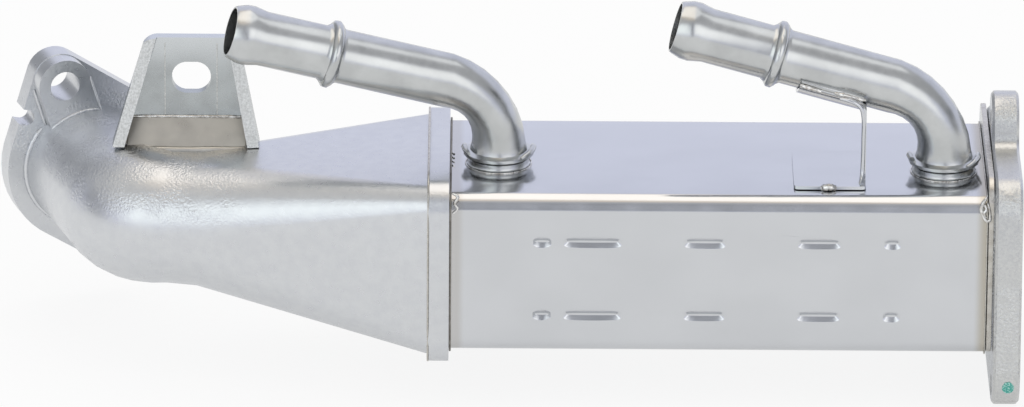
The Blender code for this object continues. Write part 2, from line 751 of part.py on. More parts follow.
def pipe_stations():
    """Walk down the pipe from its mouth: centre, direction, outer radius and flattening."""
    lean = PIPE_TILT
    along = Vector((math.cos(lean), 0.0, -math.sin(lean)))
    bend_centre = Vector((-PIPE_BEND, 0.0, CASE_TOP + BEND_HEIGHT))
    bend_start = bend_centre + PIPE_BEND * Vector((math.sin(lean), 0.0, math.cos(lean)))
    mouth = bend_start - along * (PIPE_STRAIGHT + PIPE_NOZZLE)
    half_ring = RING_WIDTH / 2
    ring = PIPE_NOZZLE
    profile = [
        (0.0, MOUTH_RADIUS - 0.0003),
        (0.0006, MOUTH_RADIUS),
        (0.0035, BARB_RADIUS),
        (0.0058, BARB_RADIUS + 0.0001),
        (0.0078, BARB_RADIUS - 0.0003),
        (0.0098, PIPE_RADIUS),
        (ring - half_ring - 0.0008, PIPE_RADIUS),
        (ring - half_ring * 0.55, RING_RADIUS - 0.0008),
        (ring - half_ring * 0.2, RING_RADIUS),
        (ring + half_ring * 0.2, RING_RADIUS),
        (ring + half_ring * 0.55, RING_RADIUS - 0.0008),
        (ring + half_ring + 0.0008, PIPE_RADIUS),
    ]
    stations = [(mouth + along * reach, along, radius, 1.0) for reach, radius in profile]
    turn = math.pi / 2 - lean
    steps = 7
    for step in range(steps + 1):
        angle = lean + turn * step / steps
        centre = bend_centre + PIPE_BEND * Vector((math.sin(angle), 0.0, math.cos(angle)))
        direction = Vector((math.cos(angle), 0.0, -math.sin(angle)))
        flat = 1 - PIPE_FLATTENING * math.sin(math.pi * step / steps)
        stations.append((centre, direction, PIPE_RADIUS, flat))
    down = Vector((0.0, 0.0, -1.0))
    base = CASE_TOP + BASE_RING_HEIGHT
    half_base = BASE_RING_WIDTH / 2
    for rise, radius in (
        (half_base * 0.75, PIPE_RADIUS + 0.0005),
        (half_base * 0.35, BASE_RING_RADIUS),
        (-half_base * 0.35, BASE_RING_RADIUS),
        (-half_base, PIPE_RADIUS + 0.0008),
        (-half_base, PIPE_RADIUS),
    ):
        stations.append((Vector((0.0, 0.0, base + rise)), down, radius, 1.0))
    end = Vector((0.0, 0.0, CASE_TOP - CASE_WALL - PIPE_END_INSET))
    stations.append((end, down, PIPE_RADIUS, 1.0))
    return stations


def pipe_ring(centre, direction, radius, flat):
    """Ring square to the pipe, flattened in the plane of the bend."""
    side = Vector((0.0, 1.0, 0.0))
    up = side.cross(direction) * flat
    return [centre + side * u + up * v for u, v in circle(radius, count=PIPE_POINTS)]


def build_pipe(name, x, y, swing, material):
    """Bent coolant pipe with a barbed mouth, a hose stop ring and a seating ring."""
    stations = pipe_stations()
    outer = [pipe_ring(*station) for station in stations]
    bore = PIPE_RADIUS - PIPE_WALL
    bend = [station for station in stations if station[2] == PIPE_RADIUS][-10:-2]
    inner_stations = [stations[0], *bend, stations[-1]]
    inner = [pipe_ring(centre, along, bore, flat) for centre, along, _, flat in inner_stations]
    pipe = tube(name, outer, inner, material)
    pipe.location = (x, y, 0.0)
    pipe.rotation_euler = (0.0, 0.0, swing)
    smooth(pipe)
    return pipe


def build_socket(name, x, y, material):
    """Short collar that stands on the case round the pipe, flared at its foot."""
    foot = CASE_TOP + GAP
    top = CASE_TOP + BASE_RING_HEIGHT - BASE_RING_WIDTH / 2 - GAP
    bore = PIPE_RADIUS + GAP
    outer = [
        (foot, SOCKET_RADIUS + SOCKET_FLARE),
        (foot + SOCKET_FLARE * 0.4, SOCKET_RADIUS + SOCKET_FLARE * 0.35),
        (foot + SOCKET_FLARE, SOCKET_RADIUS),
        (top, SOCKET_RADIUS),
    ]
    rings = [[Vector((u, v, z)) for u, v in circle(r, count=PIPE_POINTS)] for z, r in outer]
    bores = [[Vector((u, v, z)) for u, v in circle(bore, count=PIPE_POINTS)] for z in (foot, top)]
    socket = tube(name, rings, bores, material)
    socket.location = (x, y, 0.0)
    smooth(socket)
    return socket


def build_strap(material):
    """Pipe strap: a pad on the case, an upright and a saddle under the outlet pipe."""
    low = CASE_TOP + GAP
    right = STRAP_X + STRAP_SHEET
    lean = PIPE_TILT
    along = Vector((-math.cos(lean), 0.0, math.sin(lean)))
    up = Vector((math.sin(lean), 0.0, math.cos(lean)))
    side = Vector((0.0, 1.0, 0.0))
    bend_centre = Vector((OUTLET_PIPE_X - PIPE_BEND, OUTLET_PIPE_Y, CASE_TOP + BEND_HEIGHT))
    bend_start = bend_centre + PIPE_BEND * up
    inner = PIPE_RADIUS + GAP
    outer = inner + STRAP_SHEET
    hug = inner + STRAP_SHEET / 2
    first = (bend_start.x - right - math.sin(lean) * hug) / math.cos(lean)
    steps = 8
    arcs = []
    for radius in (inner, outer):
        arc = []
        for step in range(steps + 1):
            angle = -math.pi / 2 - SADDLE_ARC / 2 + SADDLE_ARC * step / steps
            arc.append((radius * math.cos(angle), radius * math.sin(angle)))
        arcs.append(arc)
    outline = arcs[0] + list(reversed(arcs[1]))

    def saddle_place(u, v, w):
        return bend_start + side * u + up * v + along * w

    strap = prism("pipe_strap", outline, saddle_place, first, first + SADDLE_LENGTH, material)
    axis = bend_start.z + math.tan(lean) * (bend_start.x - right + STRAP_SHEET / 2)
    back = STRAP_FRONT + STRAP_WIDTH
    top = []
    for step in range(steps + 1):
        y = back + (STRAP_FRONT - back) * step / steps
        across = min(max((y - OUTLET_PIPE_Y) / hug, -0.95), 0.95)
        top.append((y, axis - hug * math.sqrt(1 - across * across) / math.cos(lean)))
    upright = [(STRAP_FRONT, low + STRAP_SHEET / 2), (back, low + STRAP_SHEET / 2)] + top
    pad = rounded(
        [
            (right - STRAP_PAD_LENGTH, STRAP_PAD_FRONT, 0.0012),
            (right, STRAP_PAD_FRONT, 0.0012),
            (right, STRAP_PAD_FRONT + STRAP_PAD_WIDTH, 0.0012),
            (right - STRAP_PAD_LENGTH, STRAP_PAD_FRONT + STRAP_PAD_WIDTH, 0.0012),
        ],
        2,
    )
    beyond = circle(0.1, count=8)
    cut(strap, prism("strap_trim", beyond, yz(), right - 0.0001, right + 0.02))
    weld_on(
        strap,
        prism("strap_upright", upright, yz(), STRAP_X, right),
        prism("strap_pad", pad, xy, low, low + STRAP_SHEET),
    )
    return strap


def main():
    """Build every piece of the cooler."""
    clear_scene()
    cast = finish("cast_steel", (0.56, 0.57, 0.58), 0.38, 0.9)
    sheet = finish("rolled_stainless", (0.60, 0.61, 0.63), 0.24, 0.95)
    plate = finish("plate_steel", (0.52, 0.54, 0.54), 0.40, 0.9)
    pipe = finish("drawn_stainless", (0.58, 0.58, 0.59), 0.18, 1.0)
    core = finish("core_steel", (0.45, 0.44, 0.42), 0.45, 0.9)
    build_flange(cast)
    build_headers(plate)
    build_core(core, core)
    build_case(sheet)
    build_inlet_casting(cast)
    build_bracket(plate)
    build_pipe("coolant_inlet_pipe", INLET_PIPE_X, INLET_PIPE_Y, INLET_PIPE_SWING, pipe)
    build_pipe("coolant_outlet_pipe", OUTLET_PIPE_X, OUTLET_PIPE_Y, OUTLET_PIPE_SWING, pipe)
    build_socket("inlet_pipe_socket", INLET_PIPE_X, INLET_PIPE_Y, pipe)
    build_socket("outlet_pipe_socket", OUTLET_PIPE_X, OUTLET_PIPE_Y, pipe)
    build_strap(plate)


main()
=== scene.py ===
"""Looks of an exhaust gas cooler: a welded stainless box with a cast inlet elbow.

Each CAD node that shows is dressed as a merged, smooth copy of itself, save the core's, which
get their finish as they are. Weld metal, casting fillets and the inspection mark are small pieces
of their own. The scene is in metres. Sizes are given in millimetres, which MM turns into metres,
save the room's and the camera's.
"""

import logging
import math
import random
from collections.abc import Callable, Iterable
from dataclasses import dataclass
from enum import Enum

import bpy
from mathutils import Matrix, Vector

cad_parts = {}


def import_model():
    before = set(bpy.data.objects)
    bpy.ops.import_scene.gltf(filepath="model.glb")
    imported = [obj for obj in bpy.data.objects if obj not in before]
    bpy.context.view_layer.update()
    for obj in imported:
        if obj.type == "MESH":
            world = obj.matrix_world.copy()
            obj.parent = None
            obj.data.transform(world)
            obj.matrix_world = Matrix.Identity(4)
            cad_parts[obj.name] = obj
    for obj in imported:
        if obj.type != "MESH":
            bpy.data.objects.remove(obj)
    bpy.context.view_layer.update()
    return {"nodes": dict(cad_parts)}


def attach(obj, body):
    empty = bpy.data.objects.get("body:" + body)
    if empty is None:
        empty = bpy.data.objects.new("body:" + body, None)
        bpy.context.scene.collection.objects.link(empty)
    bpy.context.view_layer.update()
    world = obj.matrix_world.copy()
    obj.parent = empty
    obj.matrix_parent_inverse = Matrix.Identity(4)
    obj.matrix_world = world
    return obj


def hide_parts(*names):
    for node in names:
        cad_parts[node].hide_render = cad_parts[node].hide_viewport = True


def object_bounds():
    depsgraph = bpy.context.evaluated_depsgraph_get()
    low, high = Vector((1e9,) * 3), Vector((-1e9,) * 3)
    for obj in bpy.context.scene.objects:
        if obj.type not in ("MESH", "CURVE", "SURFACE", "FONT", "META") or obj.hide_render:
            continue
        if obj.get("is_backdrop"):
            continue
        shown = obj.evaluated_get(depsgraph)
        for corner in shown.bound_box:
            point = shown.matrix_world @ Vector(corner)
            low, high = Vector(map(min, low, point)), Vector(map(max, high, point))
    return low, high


Tree = bpy.types.NodeTree
Socket = bpy.types.NodeSocket
Piece = bpy.types.Object
Place = tuple[float, float, float]
Line = tuple[Place, ...]

LOG = logging.getLogger("gas_cooler")
MM = 0.001
BODY = "root"

# Points closer than DOUBLES are merged, and faces whose centres are within SAME_PLACE are one
DOUBLES = 0.002 * MM
SAME_PLACE = 0.01 * MM

# In degrees: triangles within ONE_FACE are joined, and new pieces keep edges past SHARP sharp
ONE_FACE = 0.4
SHARP = 60.0

# The part of each noise's range that its pattern uses, and how its finer layers fade
PATCH_RANGE = (0.35, 0.65)
GLOSS_RANGE = (0.3, 0.7)
ZONE_RANGE = (0.36, 0.52)
LAYER_FADE = 0.55


def linear(hex_colour: str) -> tuple[float, float, float, float]:
    """Turns an sRGB hex colour into the linear one that shaders take.

    Args:
        hex_colour: Six hex digits, red first.

    Returns:
        Linear red, green, blue and an alpha of 1.
    """
    channels = [int(hex_colour[i:i + 2], 16) / 255 for i in (0, 2, 4)]
    curve = [c / 12.92 if c <= 0.04045 else ((c + 0.055) / 1.055) ** 2.4 for c in channels]
    return (*curve, 1.0)


def put(tree: Tree, kind: str, inputs: dict | None = None, **settings) -> bpy.types.Node:
    """Adds one shader node, with its settings, constants and links.

    Args:
        tree: The node tree that gets the node.
        kind: The node's type name.
        inputs: Values, or output sockets to link from, by input name or number.
        **settings: Attributes of the node, such as its operation.

    Returns:
        The new node.
    """
    node = tree.nodes.new(kind)
    for name, value in settings.items():
        setattr(node, name, value)
    for key, value in (inputs or {}).items():
        if isinstance(value, Socket):
            tree.links.new(value, node.inputs[key])
        else:
            node.inputs[key].default_value = value
    return node


def reckon(tree: Tree, operation: str, *values: float | Socket) -> Socket:
    """Adds one maths node and gives its result, from its values in order."""
    return put(tree, "ShaderNodeMath", dict(enumerate(values)), operation=operation).outputs[0]


def rescale(
    tree: Tree, value: float | Socket, start: float, end: float,
    low: float = 0.0, high: float = 1.0, curve: str = "LINEAR",
) -> Socket:
    """Maps a value's range onto another one and stops at its ends.

    Args:
        tree: The node tree that gets the node.
        value: The value, or its socket.
        start: The value that gives the low result.
        end: The value that gives the high result.
        low: The result at the start.
        high: The result at the end.
        curve: How the result runs between them.

    Returns:
        The result's socket.
    """
    inputs = {"Value": value, "From Min": start, "From Max": end, "To Min": low, "To Max": high}
    return put(tree, "ShaderNodeMapRange", inputs, interpolation_type=curve).outputs["Result"]


def ramp(tree: Tree, axis: str, start: float, end: float, top: float = 1.0) -> Socket:
    """Rises softly from 0 to a top value between two places along an axis of the piece.

    Args:
        tree: The material's node tree.
        axis: The axis: X, Y or Z.
        start: The place where it leaves 0, in millimetres.
        end: The place where it reaches the top value.
        top: The top value.

    Returns:
        The socket with the value.
    """
    where = put(tree, "ShaderNodeTexCoord").outputs["Object"]
    along = put(tree, "ShaderNodeSeparateXYZ", {0: where}).outputs[axis]
    return rescale(tree, along, start * MM, end * MM, 0.0, top, "SMOOTHSTEP")


def blend_colours(tree: Tree, share: Socket, first: str | Socket, second: str | Socket) -> Socket:
    """Mixes two colours, each a hex string or a colour socket.

    Args:
        tree: The node tree that gets the node.
        share: The socket with the second colour's share.
        first: The colour at a share of 0.
        second: The colour at a share of 1.

    Returns:
        The mixed colour's socket.
    """
    first, second = [linear(end) if isinstance(end, str) else end for end in (first, second)]
    inputs = {"Factor": share, 6: first, 7: second}
    return put(tree, "ShaderNodeMix", inputs, data_type="RGBA").outputs[2]


def blank(owner: bpy.types.Material | bpy.types.World) -> Tree:
    """Empties the node tree of a material or a world.

    Args:
        owner: The material or the world.

    Returns:
        Its empty tree.
    """
    owner.use_nodes = True
    owner.node_tree.nodes.clear()
    return owner.node_tree


def shade(tree: Tree, inputs: dict) -> None:
    """Ends a material's tree in a principled shader with these inputs."""
    shader = put(tree, "ShaderNodeBsdfPrincipled", inputs)
    put(tree, "ShaderNodeOutputMaterial", {"Surface": shader.outputs["BSDF"]})


class Slot(Enum):
    """The record's material slots, from which a scene can repaint the part."""

    CAST = "cast_steel"
    ROLLED = "rolled_stainless"
    PLATE = "plate_steel"
    DRAWN = "drawn_stainless"
    CORE = "core_steel"


@dataclass(frozen=True)
class HeatTintAndLightBand:
    """A colour that grows along an axis of a piece: heat tint by a weld, and painted light on some plates.

    It grows from none at its first place to its full share at its second.
    """

    faint_at: float
    hot: float
    hue: str
    share: float
    axis: str = "X"


@dataclass(frozen=True)
class Crinkle:
    """A band of a casting where its skin is crinkled, between two heights.

    Along the part, the crinkles grow from none at the first place of fade to full at the
    second. The fade given here lies wholly to the left of the part, so they are full.
    """

    low: float
    high: float
    fade: tuple[float, float] = (-1000.0, -500.0)
    edge: float = 2.0


@dataclass(frozen=True)
class Metal:
    """A bare metal surface: two colours in patches, a grain you can feel, and a slow waviness.

    patch, grain and wave are real sizes of the pattern's features, and stretch draws them out
    along the part's length, as rolling does. Where zone is given, the grain comes and goes in
    zones of that size, and it is strong in the bands of crinkles and faint outside them.
    """

    name: str
    light: str
    dark: str
    roughness: float
    roughness_spread: float = 0.08
    patch: float = 6.0
    grain: float = 0.4
    grain_depth: float = 0.02
    wave: float = 9.0
    wave_depth: float = 0.0
    stretch: float = 1.0
    zone: float = 0.0
    crinkles: tuple[Crinkle, ...] = ()
    faint: float = 0.12
    # Bands of heat tint, and bands of painted light on the pressed plate and the bracket's foot
    heat: tuple[HeatTintAndLightBand, ...] = ()

    def noise(self, tree: Tree, size: float, detail: float) -> Socket:
        """Adds a noise whose features have a real size, drawn out along the piece.

        Args:
            tree: The material's node tree.
            size: The size of a feature, in millimetres.
            detail: How many finer layers lie on top.

        Returns:
            The socket with the noise's value.
        """
        where = put(tree, "ShaderNodeTexCoord").outputs["Object"]
        drawn = put(tree, "ShaderNodeMapping", {"Vector": where, "Scale": (1 / self.stretch, 1.0, 1.0)})
        inputs = {"Vector": drawn.outputs[0], "Scale": 1 / (size * MM), "Detail": detail}
        inputs["Roughness"] = LAYER_FADE
        return put(tree, "ShaderNodeTexNoise", inputs).outputs["Fac"]

    def colour(self, tree: Tree) -> Socket:
        """Mixes the two colours in soft patches and lays the bands of heat tint and painted light over
        them.

        Args:
            tree: The material's node tree.

        Returns:
            The colour socket.
        """
        share = rescale(tree, self.noise(tree, self.patch, 3.0), *PATCH_RANGE)
        mixed = blend_colours(tree, share, self.dark, self.light)
        for band in self.heat:
            share = ramp(tree, band.axis, band.faint_at, band.hot, band.share)
            mixed = blend_colours(tree, share, mixed, band.hue)
        return mixed

    def grain_strength(self, tree: Tree) -> Socket:
        """Works out where the grain is strong: in zones inside the bands of crinkles.

        Args:
            tree: The material's node tree.

        Returns:
            The socket with the grain's strength.
        """
        zones = rescale(tree, self.noise(tree, self.zone, 1.0), *ZONE_RANGE, self.faint)
        inside = 0.0
        for band in self.crinkles:
            rises = ramp(tree, "Z", band.low - band.edge, band.low + band.edge)
            falls = ramp(tree, "Z", band.high + band.edge, band.high - band.edge)
            share = reckon(tree, "MULTIPLY", rises, falls)
            share = reckon(tree, "MULTIPLY", share, ramp(tree, "X", *band.fade))
            inside = reckon(tree, "MAXIMUM", inside, share)
        return reckon(tree, "MULTIPLY", zones, rescale(tree, inside, 0.0, 1.0, self.faint))

    def relief(self, tree: Tree) -> Socket:
        """Bumps the surface with its waviness and then its grain.

        Args:
            tree: The material's node tree.

        Returns:
            The normal socket.
        """
        waves = {"Height": self.noise(tree, self.wave, 1.0), "Distance": self.wave_depth * MM}
        grains = {
            "Strength": self.grain_strength(tree) if self.zone else 1.0,
            "Height": self.noise(tree, self.grain, 2.0),
            "Distance": self.grain_depth * MM,
            "Normal": put(tree, "ShaderNodeBump", waves).outputs["Normal"],
        }
        return put(tree, "ShaderNodeBump", grains).outputs["Normal"]

    def material(self) -> bpy.types.Material:
        """Makes the material, or hands back the one made before.

        Returns:
            The Blender material.
        """
        made = bpy.data.materials.get(self.name)
        if made:
            return made
        made = bpy.data.materials.new(self.name)
        tree = blank(made)
        ends = (self.roughness - self.roughness_spread, self.roughness + self.roughness_spread)
        inputs = {
            "Base Color": self.colour(tree),
            "Metallic": 1.0,
            "Roughness": rescale(tree, self.noise(tree, self.patch / 2, 3.0), *GLOSS_RANGE, *ends),
            "Normal": self.relief(tree),
        }
        shade(tree, inputs)
        return made


# Investment cast stainless, blasted clean: a satin skin, crinkled in places, with soft swells.
CAST = Metal(
    "cast stainless, blasted", "D6D8DA", "D1D3D6", 0.30, 0.03,
    patch=3.0, grain=0.8, grain_depth=0.26, wave=15.0, wave_depth=0.1,
    zone=10.0, crinkles=(Crinkle(9.0, 25.0, (-222.0, -246.0)),), faint=0.2,
)
# The outlet flange's rim, left as cast: pale grains between smooth places.
CAST_RIM = Metal(
    "cast stainless, rough rim", "D0D1CF", "C5C6C6", 0.30, 0.04,
    patch=0.8, grain=0.7, grain_depth=0.45, wave=15.0, wave_depth=0.08, zone=7.0,
    crinkles=(Crinkle(-30.0, -0.5), Crinkle(21.5, 29.0), Crinkle(38.0, 43.0)), faint=0.16,
)
# The casting's raised faces, milled flat: a little smoother than the skin.
MILLED = Metal("cast stainless, milled", "C4C8CC", "B2B6BB", 0.26, grain=0.3, grain_depth=0.006)
# Cold rolled stainless sheet, bright annealed: it mirrors softly, drawn out along the rolling.
ROLLED = Metal(
    "stainless sheet, bright annealed", "D1D3D6", "CDCFD2", 0.17, 0.03,
    patch=14.0, grain=0.5, grain_depth=0.002, wave=34.0, wave_depth=0.07, stretch=1.6,
    # Heat tint by the right end's weld, and a grey band darker towards the left end.
    heat=(HeatTintAndLightBand(-14.0, -10.8, "B3AD9F", 0.85), HeatTintAndLightBand(-163.0, -165.5, "BBB8B4", 0.6)),
)
# Pressed stainless plate, tumbled after cutting: a satin grey, with a painted sheen paler towards its top.
PRESSED = Metal(
    "stainless plate, pressed", "B5BABB", "A9ADAE", 0.27, 0.04,
    patch=5.0, grain=0.6, grain_depth=0.02, wave=8.0, wave_depth=0.05,
    # Painted sheen: paler towards the plate's top.
    heat=(HeatTintAndLightBand(42.0, 56.0, "D6DADC", 0.85, "Z"),),
)
# Header plate, trimmed and deburred: a pale satin.
TRIMMED = Metal("stainless plate, trimmed", "D2D5D8", "C6C9CC", 0.27, 0.04, 5.0, 0.6)
# The bracket's foot and its fillet in a warm grey, a painted warm reflection, darker to the left.
PAINTED_WARM_REFLECTION = Metal(
    "stainless plate, heat tinted", "CBC8C0", "BFBCB5", 0.30, 0.03,
    patch=9.0, grain=0.6, grain_depth=0.01, wave=8.0, wave_depth=0.05,
    heat=(HeatTintAndLightBand(-257.0, -262.5, "8F8E8A", 0.6),),
)
# The plate's cut edge, torn by the die: pale and speckled.
SHEARED = Metal("stainless plate, sheared edge", "E2E3E1", "C6C7C4", 0.38, 0.06, 0.6, 0.5, 0.08)
# Painted shade, dark and dull: the bottom of the case's left seam and the bracket's inner sides.
PAINTED_SHADE = Metal("stainless seam, sooted", "A19D96", "827E77", 0.5, 0.08, 1.5, 0.4, 0.02)
# The header plate's edge beside its weld, and seams that stayed clean: warm grey.
TINTED = Metal("stainless plate, edge by a weld", "D2CFC8", "BDB9B1", 0.30, 0.06, 2.0, 0.4, 0.01)
# Drawn stainless tube, smoothed by the die: a soft, clear gloss.
DRAWN = Metal("stainless tube, drawn", "CBCDCD", "BEC0C0", 0.24, 0.03, 8.0, 0.4, 0.003, 7.0, 0.05)
# Stainless weld metal, brushed clean: bright and uneven.
WELD = Metal("stainless weld metal", "F0F0EE", "B8B4AE", 0.22, 0.1, 1.2, 0.3, 0.03)
# Furnace brazed tubes and fins: dull, with warm stains from the filler.
BRAZED = Metal("stainless core, brazed", "A09D98", "7F7A72", 0.45, 0.08, 4.0, 0.5, 0.02)


@dataclass(frozen=True)
class Paint:
    """A dab of marking paint with a soft gloss, worn thin in small speckles."""

    name: str = "marking paint, sea green"
    hue: str = "3FA99C"
    worn: str = "A9D8CF"
    speckle: float = 0.5
    worn_range: tuple[float, float] = (0.48, 0.6)
    roughness: float = 0.4

    def material(self) -> bpy.types.Material:
        """Makes the paint's material.

        Returns:
            The Blender material.
        """
        made = bpy.data.materials.new(self.name)
        tree = blank(made)
        where = put(tree, "ShaderNodeTexCoord").outputs["Object"]
        inputs = {"Vector": where, "Scale": 1 / (self.speckle * MM), "Detail": 1.0}
        spots = put(tree, "ShaderNodeTexNoise", inputs).outputs["Fac"]
        share = rescale(tree, spots, *self.worn_range)
        colour = blend_colours(tree, share, self.hue, self.worn)
        shade(tree, {"Base Color": colour, "Roughness": self.roughness})
        return made


def pick(piece: Piece) -> None:
    """Deselects everything and makes one piece the active, selected one."""
    bpy.ops.object.select_all(action="DESELECT")
    piece.select_set(True)
    bpy.context.view_layer.objects.active = piece


def smooth(angle: float) -> None:
    """Shades the selected piece smooth, save at edges past an angle in degrees."""
    bpy.ops.object.shade_smooth_by_angle(angle=math.radians(angle))


def modify(piece: Piece, name: str, kind: str, **settings) -> None:
    """Adds a modifier to the active piece and applies it.

    Args:
        piece: The active piece.
        name: The modifier's name.
        kind: Its type.
        **settings: Its attributes.
    """
    modifier = piece.modifiers.new(name, kind)
    for key, value in settings.items():
        setattr(modifier, key, value)
    bpy.ops.object.modifier_apply(modifier=name)


def choose(piece: Piece, element: str, wanted: Callable[..., bool]) -> None:
    """Selects some faces or vertices of the active piece and leaves it in edit mode.

    Args:
        piece: The active piece.
        element: What is selected: FACE or VERT.
        wanted: Tells whether a face or a vertex is wanted.
    """
    bpy.ops.object.mode_set(mode="EDIT")
    bpy.ops.mesh.select_mode(type=element)
    bpy.ops.mesh.select_all(action="DESELECT")
    bpy.ops.object.mode_set(mode="OBJECT")
    for part in piece.data.polygons if element == "FACE" else piece.data.vertices:
        part.select = wanted(part)
    bpy.ops.object.mode_set(mode="EDIT")


def dress(piece: Piece, slot: Slot, *finishes: Metal | Paint) -> Piece:
    """Gives a piece its finishes and the body that it rides on.

    Args:
        piece: The finished mesh.
        slot: The record's slot that the piece would be repainted from; it is not used.
        *finishes: One finish per material index.

    Returns:
        The same piece.
    """
    indices = [p.material_index for p in piece.data.polygons]
    piece.data.materials.clear()
    for finish in finishes:
        piece.data.materials.append(finish.material())
    last = len(finishes) - 1
    for polygon, index in zip(piece.data.polygons, indices):
        polygon.material_index = min(index, last)
    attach(piece, BODY)
    return piece


def settle(piece: Piece) -> Piece:
    """Merges a new piece's doubles, turns its faces outwards and puts its place in its mesh.

    Args:
        piece: The new piece.

    Returns:
        The same piece.
    """
    pick(piece)
    bpy.ops.object.transform_apply(location=True, rotation=True, scale=True)
    bpy.ops.object.mode_set(mode="EDIT")
    bpy.ops.mesh.select_all(action="SELECT")
    bpy.ops.mesh.remove_doubles(threshold=DOUBLES)
    bpy.ops.mesh.normals_make_consistent(inside=False)
    bpy.ops.object.mode_set(mode="OBJECT")
    smooth(SHARP)
    return piece


@dataclass(frozen=True)
class Bead:
    """A bead of metal laid along a line: weld metal, a casting's fillet or a rolled lip.

    Lumps is how far its skin swells and sinks, swell the share by which its radius comes and
    goes from point to point, and tip the share of it that is left at an open end.
    """

    name: str
    points: Line
    radius: float
    lumps: float = 0.0
    swell: float = 0.0
    closed: bool = False
    lump_size: float = 0.8
    tip: float = 0.6
    section_steps: int = 2
    line_steps: int = 6

    def build(self) -> Piece:
        """Draws the line as a curve with a round section and makes it a lumpy mesh.

        Returns:
            The bead, not yet dressed.
        """
        dice = random.Random(self.name)
        line = bpy.data.curves.new(self.name, "CURVE")
        line.dimensions = "3D"
        line.bevel_depth = self.radius * MM
        line.bevel_resolution = self.section_steps
        line.resolution_u = self.line_steps
        line.use_fill_caps = True
        spline = line.splines.new("BEZIER")
        spline.bezier_points.add(len(self.points) - 1)
        for point, place in zip(spline.bezier_points, self.points):
            point.co = Vector(place) * MM
            point.handle_left_type = point.handle_right_type = "AUTO"
            point.radius = 1 + dice.uniform(-self.swell, self.swell)
        if not self.closed:
            spline.bezier_points[0].radius *= self.tip
            spline.bezier_points[-1].radius *= self.tip
        spline.use_cyclic_u = self.closed
        piece = bpy.data.objects.new(self.name, line)
        bpy.context.scene.collection.objects.link(piece)
        pick(piece)
        bpy.ops.object.convert(target="MESH")
        piece = settle(bpy.context.object)
        if self.lumps:
            pattern = bpy.data.textures.new(self.name, "CLOUDS")
            pattern.noise_scale = self.lump_size * MM
            lumpy = {"texture": pattern, "texture_coords": "LOCAL", "strength": self.lumps * MM}
            modify(piece, "lumps", "DISPLACE", **lumpy)
        return piece


def lay(beads: Iterable[Bead], slot: Slot, finish: Metal) -> list[Piece]:
    """Builds and dresses beads that share a slot and a finish."""
    return [dress(bead.build(), slot, finish) for bead in beads]


def ring(
    middle: tuple[float, float], radius: float, height: float, wave: float = 0.0, count: int = 24
) -> Line:
    """Works out a level ring's points, in millimetres.

    Args:
        middle: The ring's centre, seen from above.
        radius: Its radius.
        height: Its height.
        wave: How far it rises at its left and right and sinks at its front and back.
        count: How many points it has.

    Returns:
        The points.
    """
    points = []
    for step in range(count):
        turn = 2 * math.pi * step / count
        x = middle[0] + radius * math.cos(turn)
        y = middle[1] + radius * math.sin(turn)
        points.append((x, y, height + wave * math.cos(2 * turn)))
    return tuple(points)


def frame_line(x: float, side: float, height: float, corner: float, steps: int = 4) -> Line:
    """Works out a rounded rectangle across the part's length, in millimetres.

    Args:
        x: Its place along the part.
        side: Half its width.
        height: Half its height.
        corner: Its corner radius.
        steps: How many points make up each corner, less one.

    Returns:
        The points.
    """
    points = []
    for quarter, (y_sign, z_sign) in enumerate(((1, 1), (-1, 1), (-1, -1), (1, -1))):
        for step in range(steps + 1):
            turn = math.pi / 2 * (quarter + step / steps)
            y = y_sign * (side - corner) + corner * math.cos(turn)
            z = z_sign * (height - corner) + corner * math.sin(turn)
            points.append((x, y, z))
    return tuple(points)


def block(name: str, centre: Place, size: Place, lean: float, rounding: float, steps: int) -> Piece:
    """Makes a plate that stands upright or leans back, with rounded edges.

    Args:
        name: The plate's name.
        centre: Its middle, in millimetres.
        size: Its length, thickness and height, in millimetres.
        lean: How far it leans back, in degrees.
        rounding: How far its edges are rounded, in millimetres.
        steps: How many faces make up each rounded edge.

    Returns:
        The plate, not yet dressed.
    """
    bpy.ops.object.select_all(action="DESELECT")
    turn = (-math.radians(lean), 0.0, 0.0)
    bpy.ops.mesh.primitive_cube_add(
        size=1.0, location=Vector(centre) * MM, rotation=turn, scale=Vector(size) * MM
    )
    plate = bpy.context.object
    plate.name = name
    settle(plate)
    modify(plate, "edge_rounding", "BEVEL", width=rounding * MM, segments=steps)
    return plate


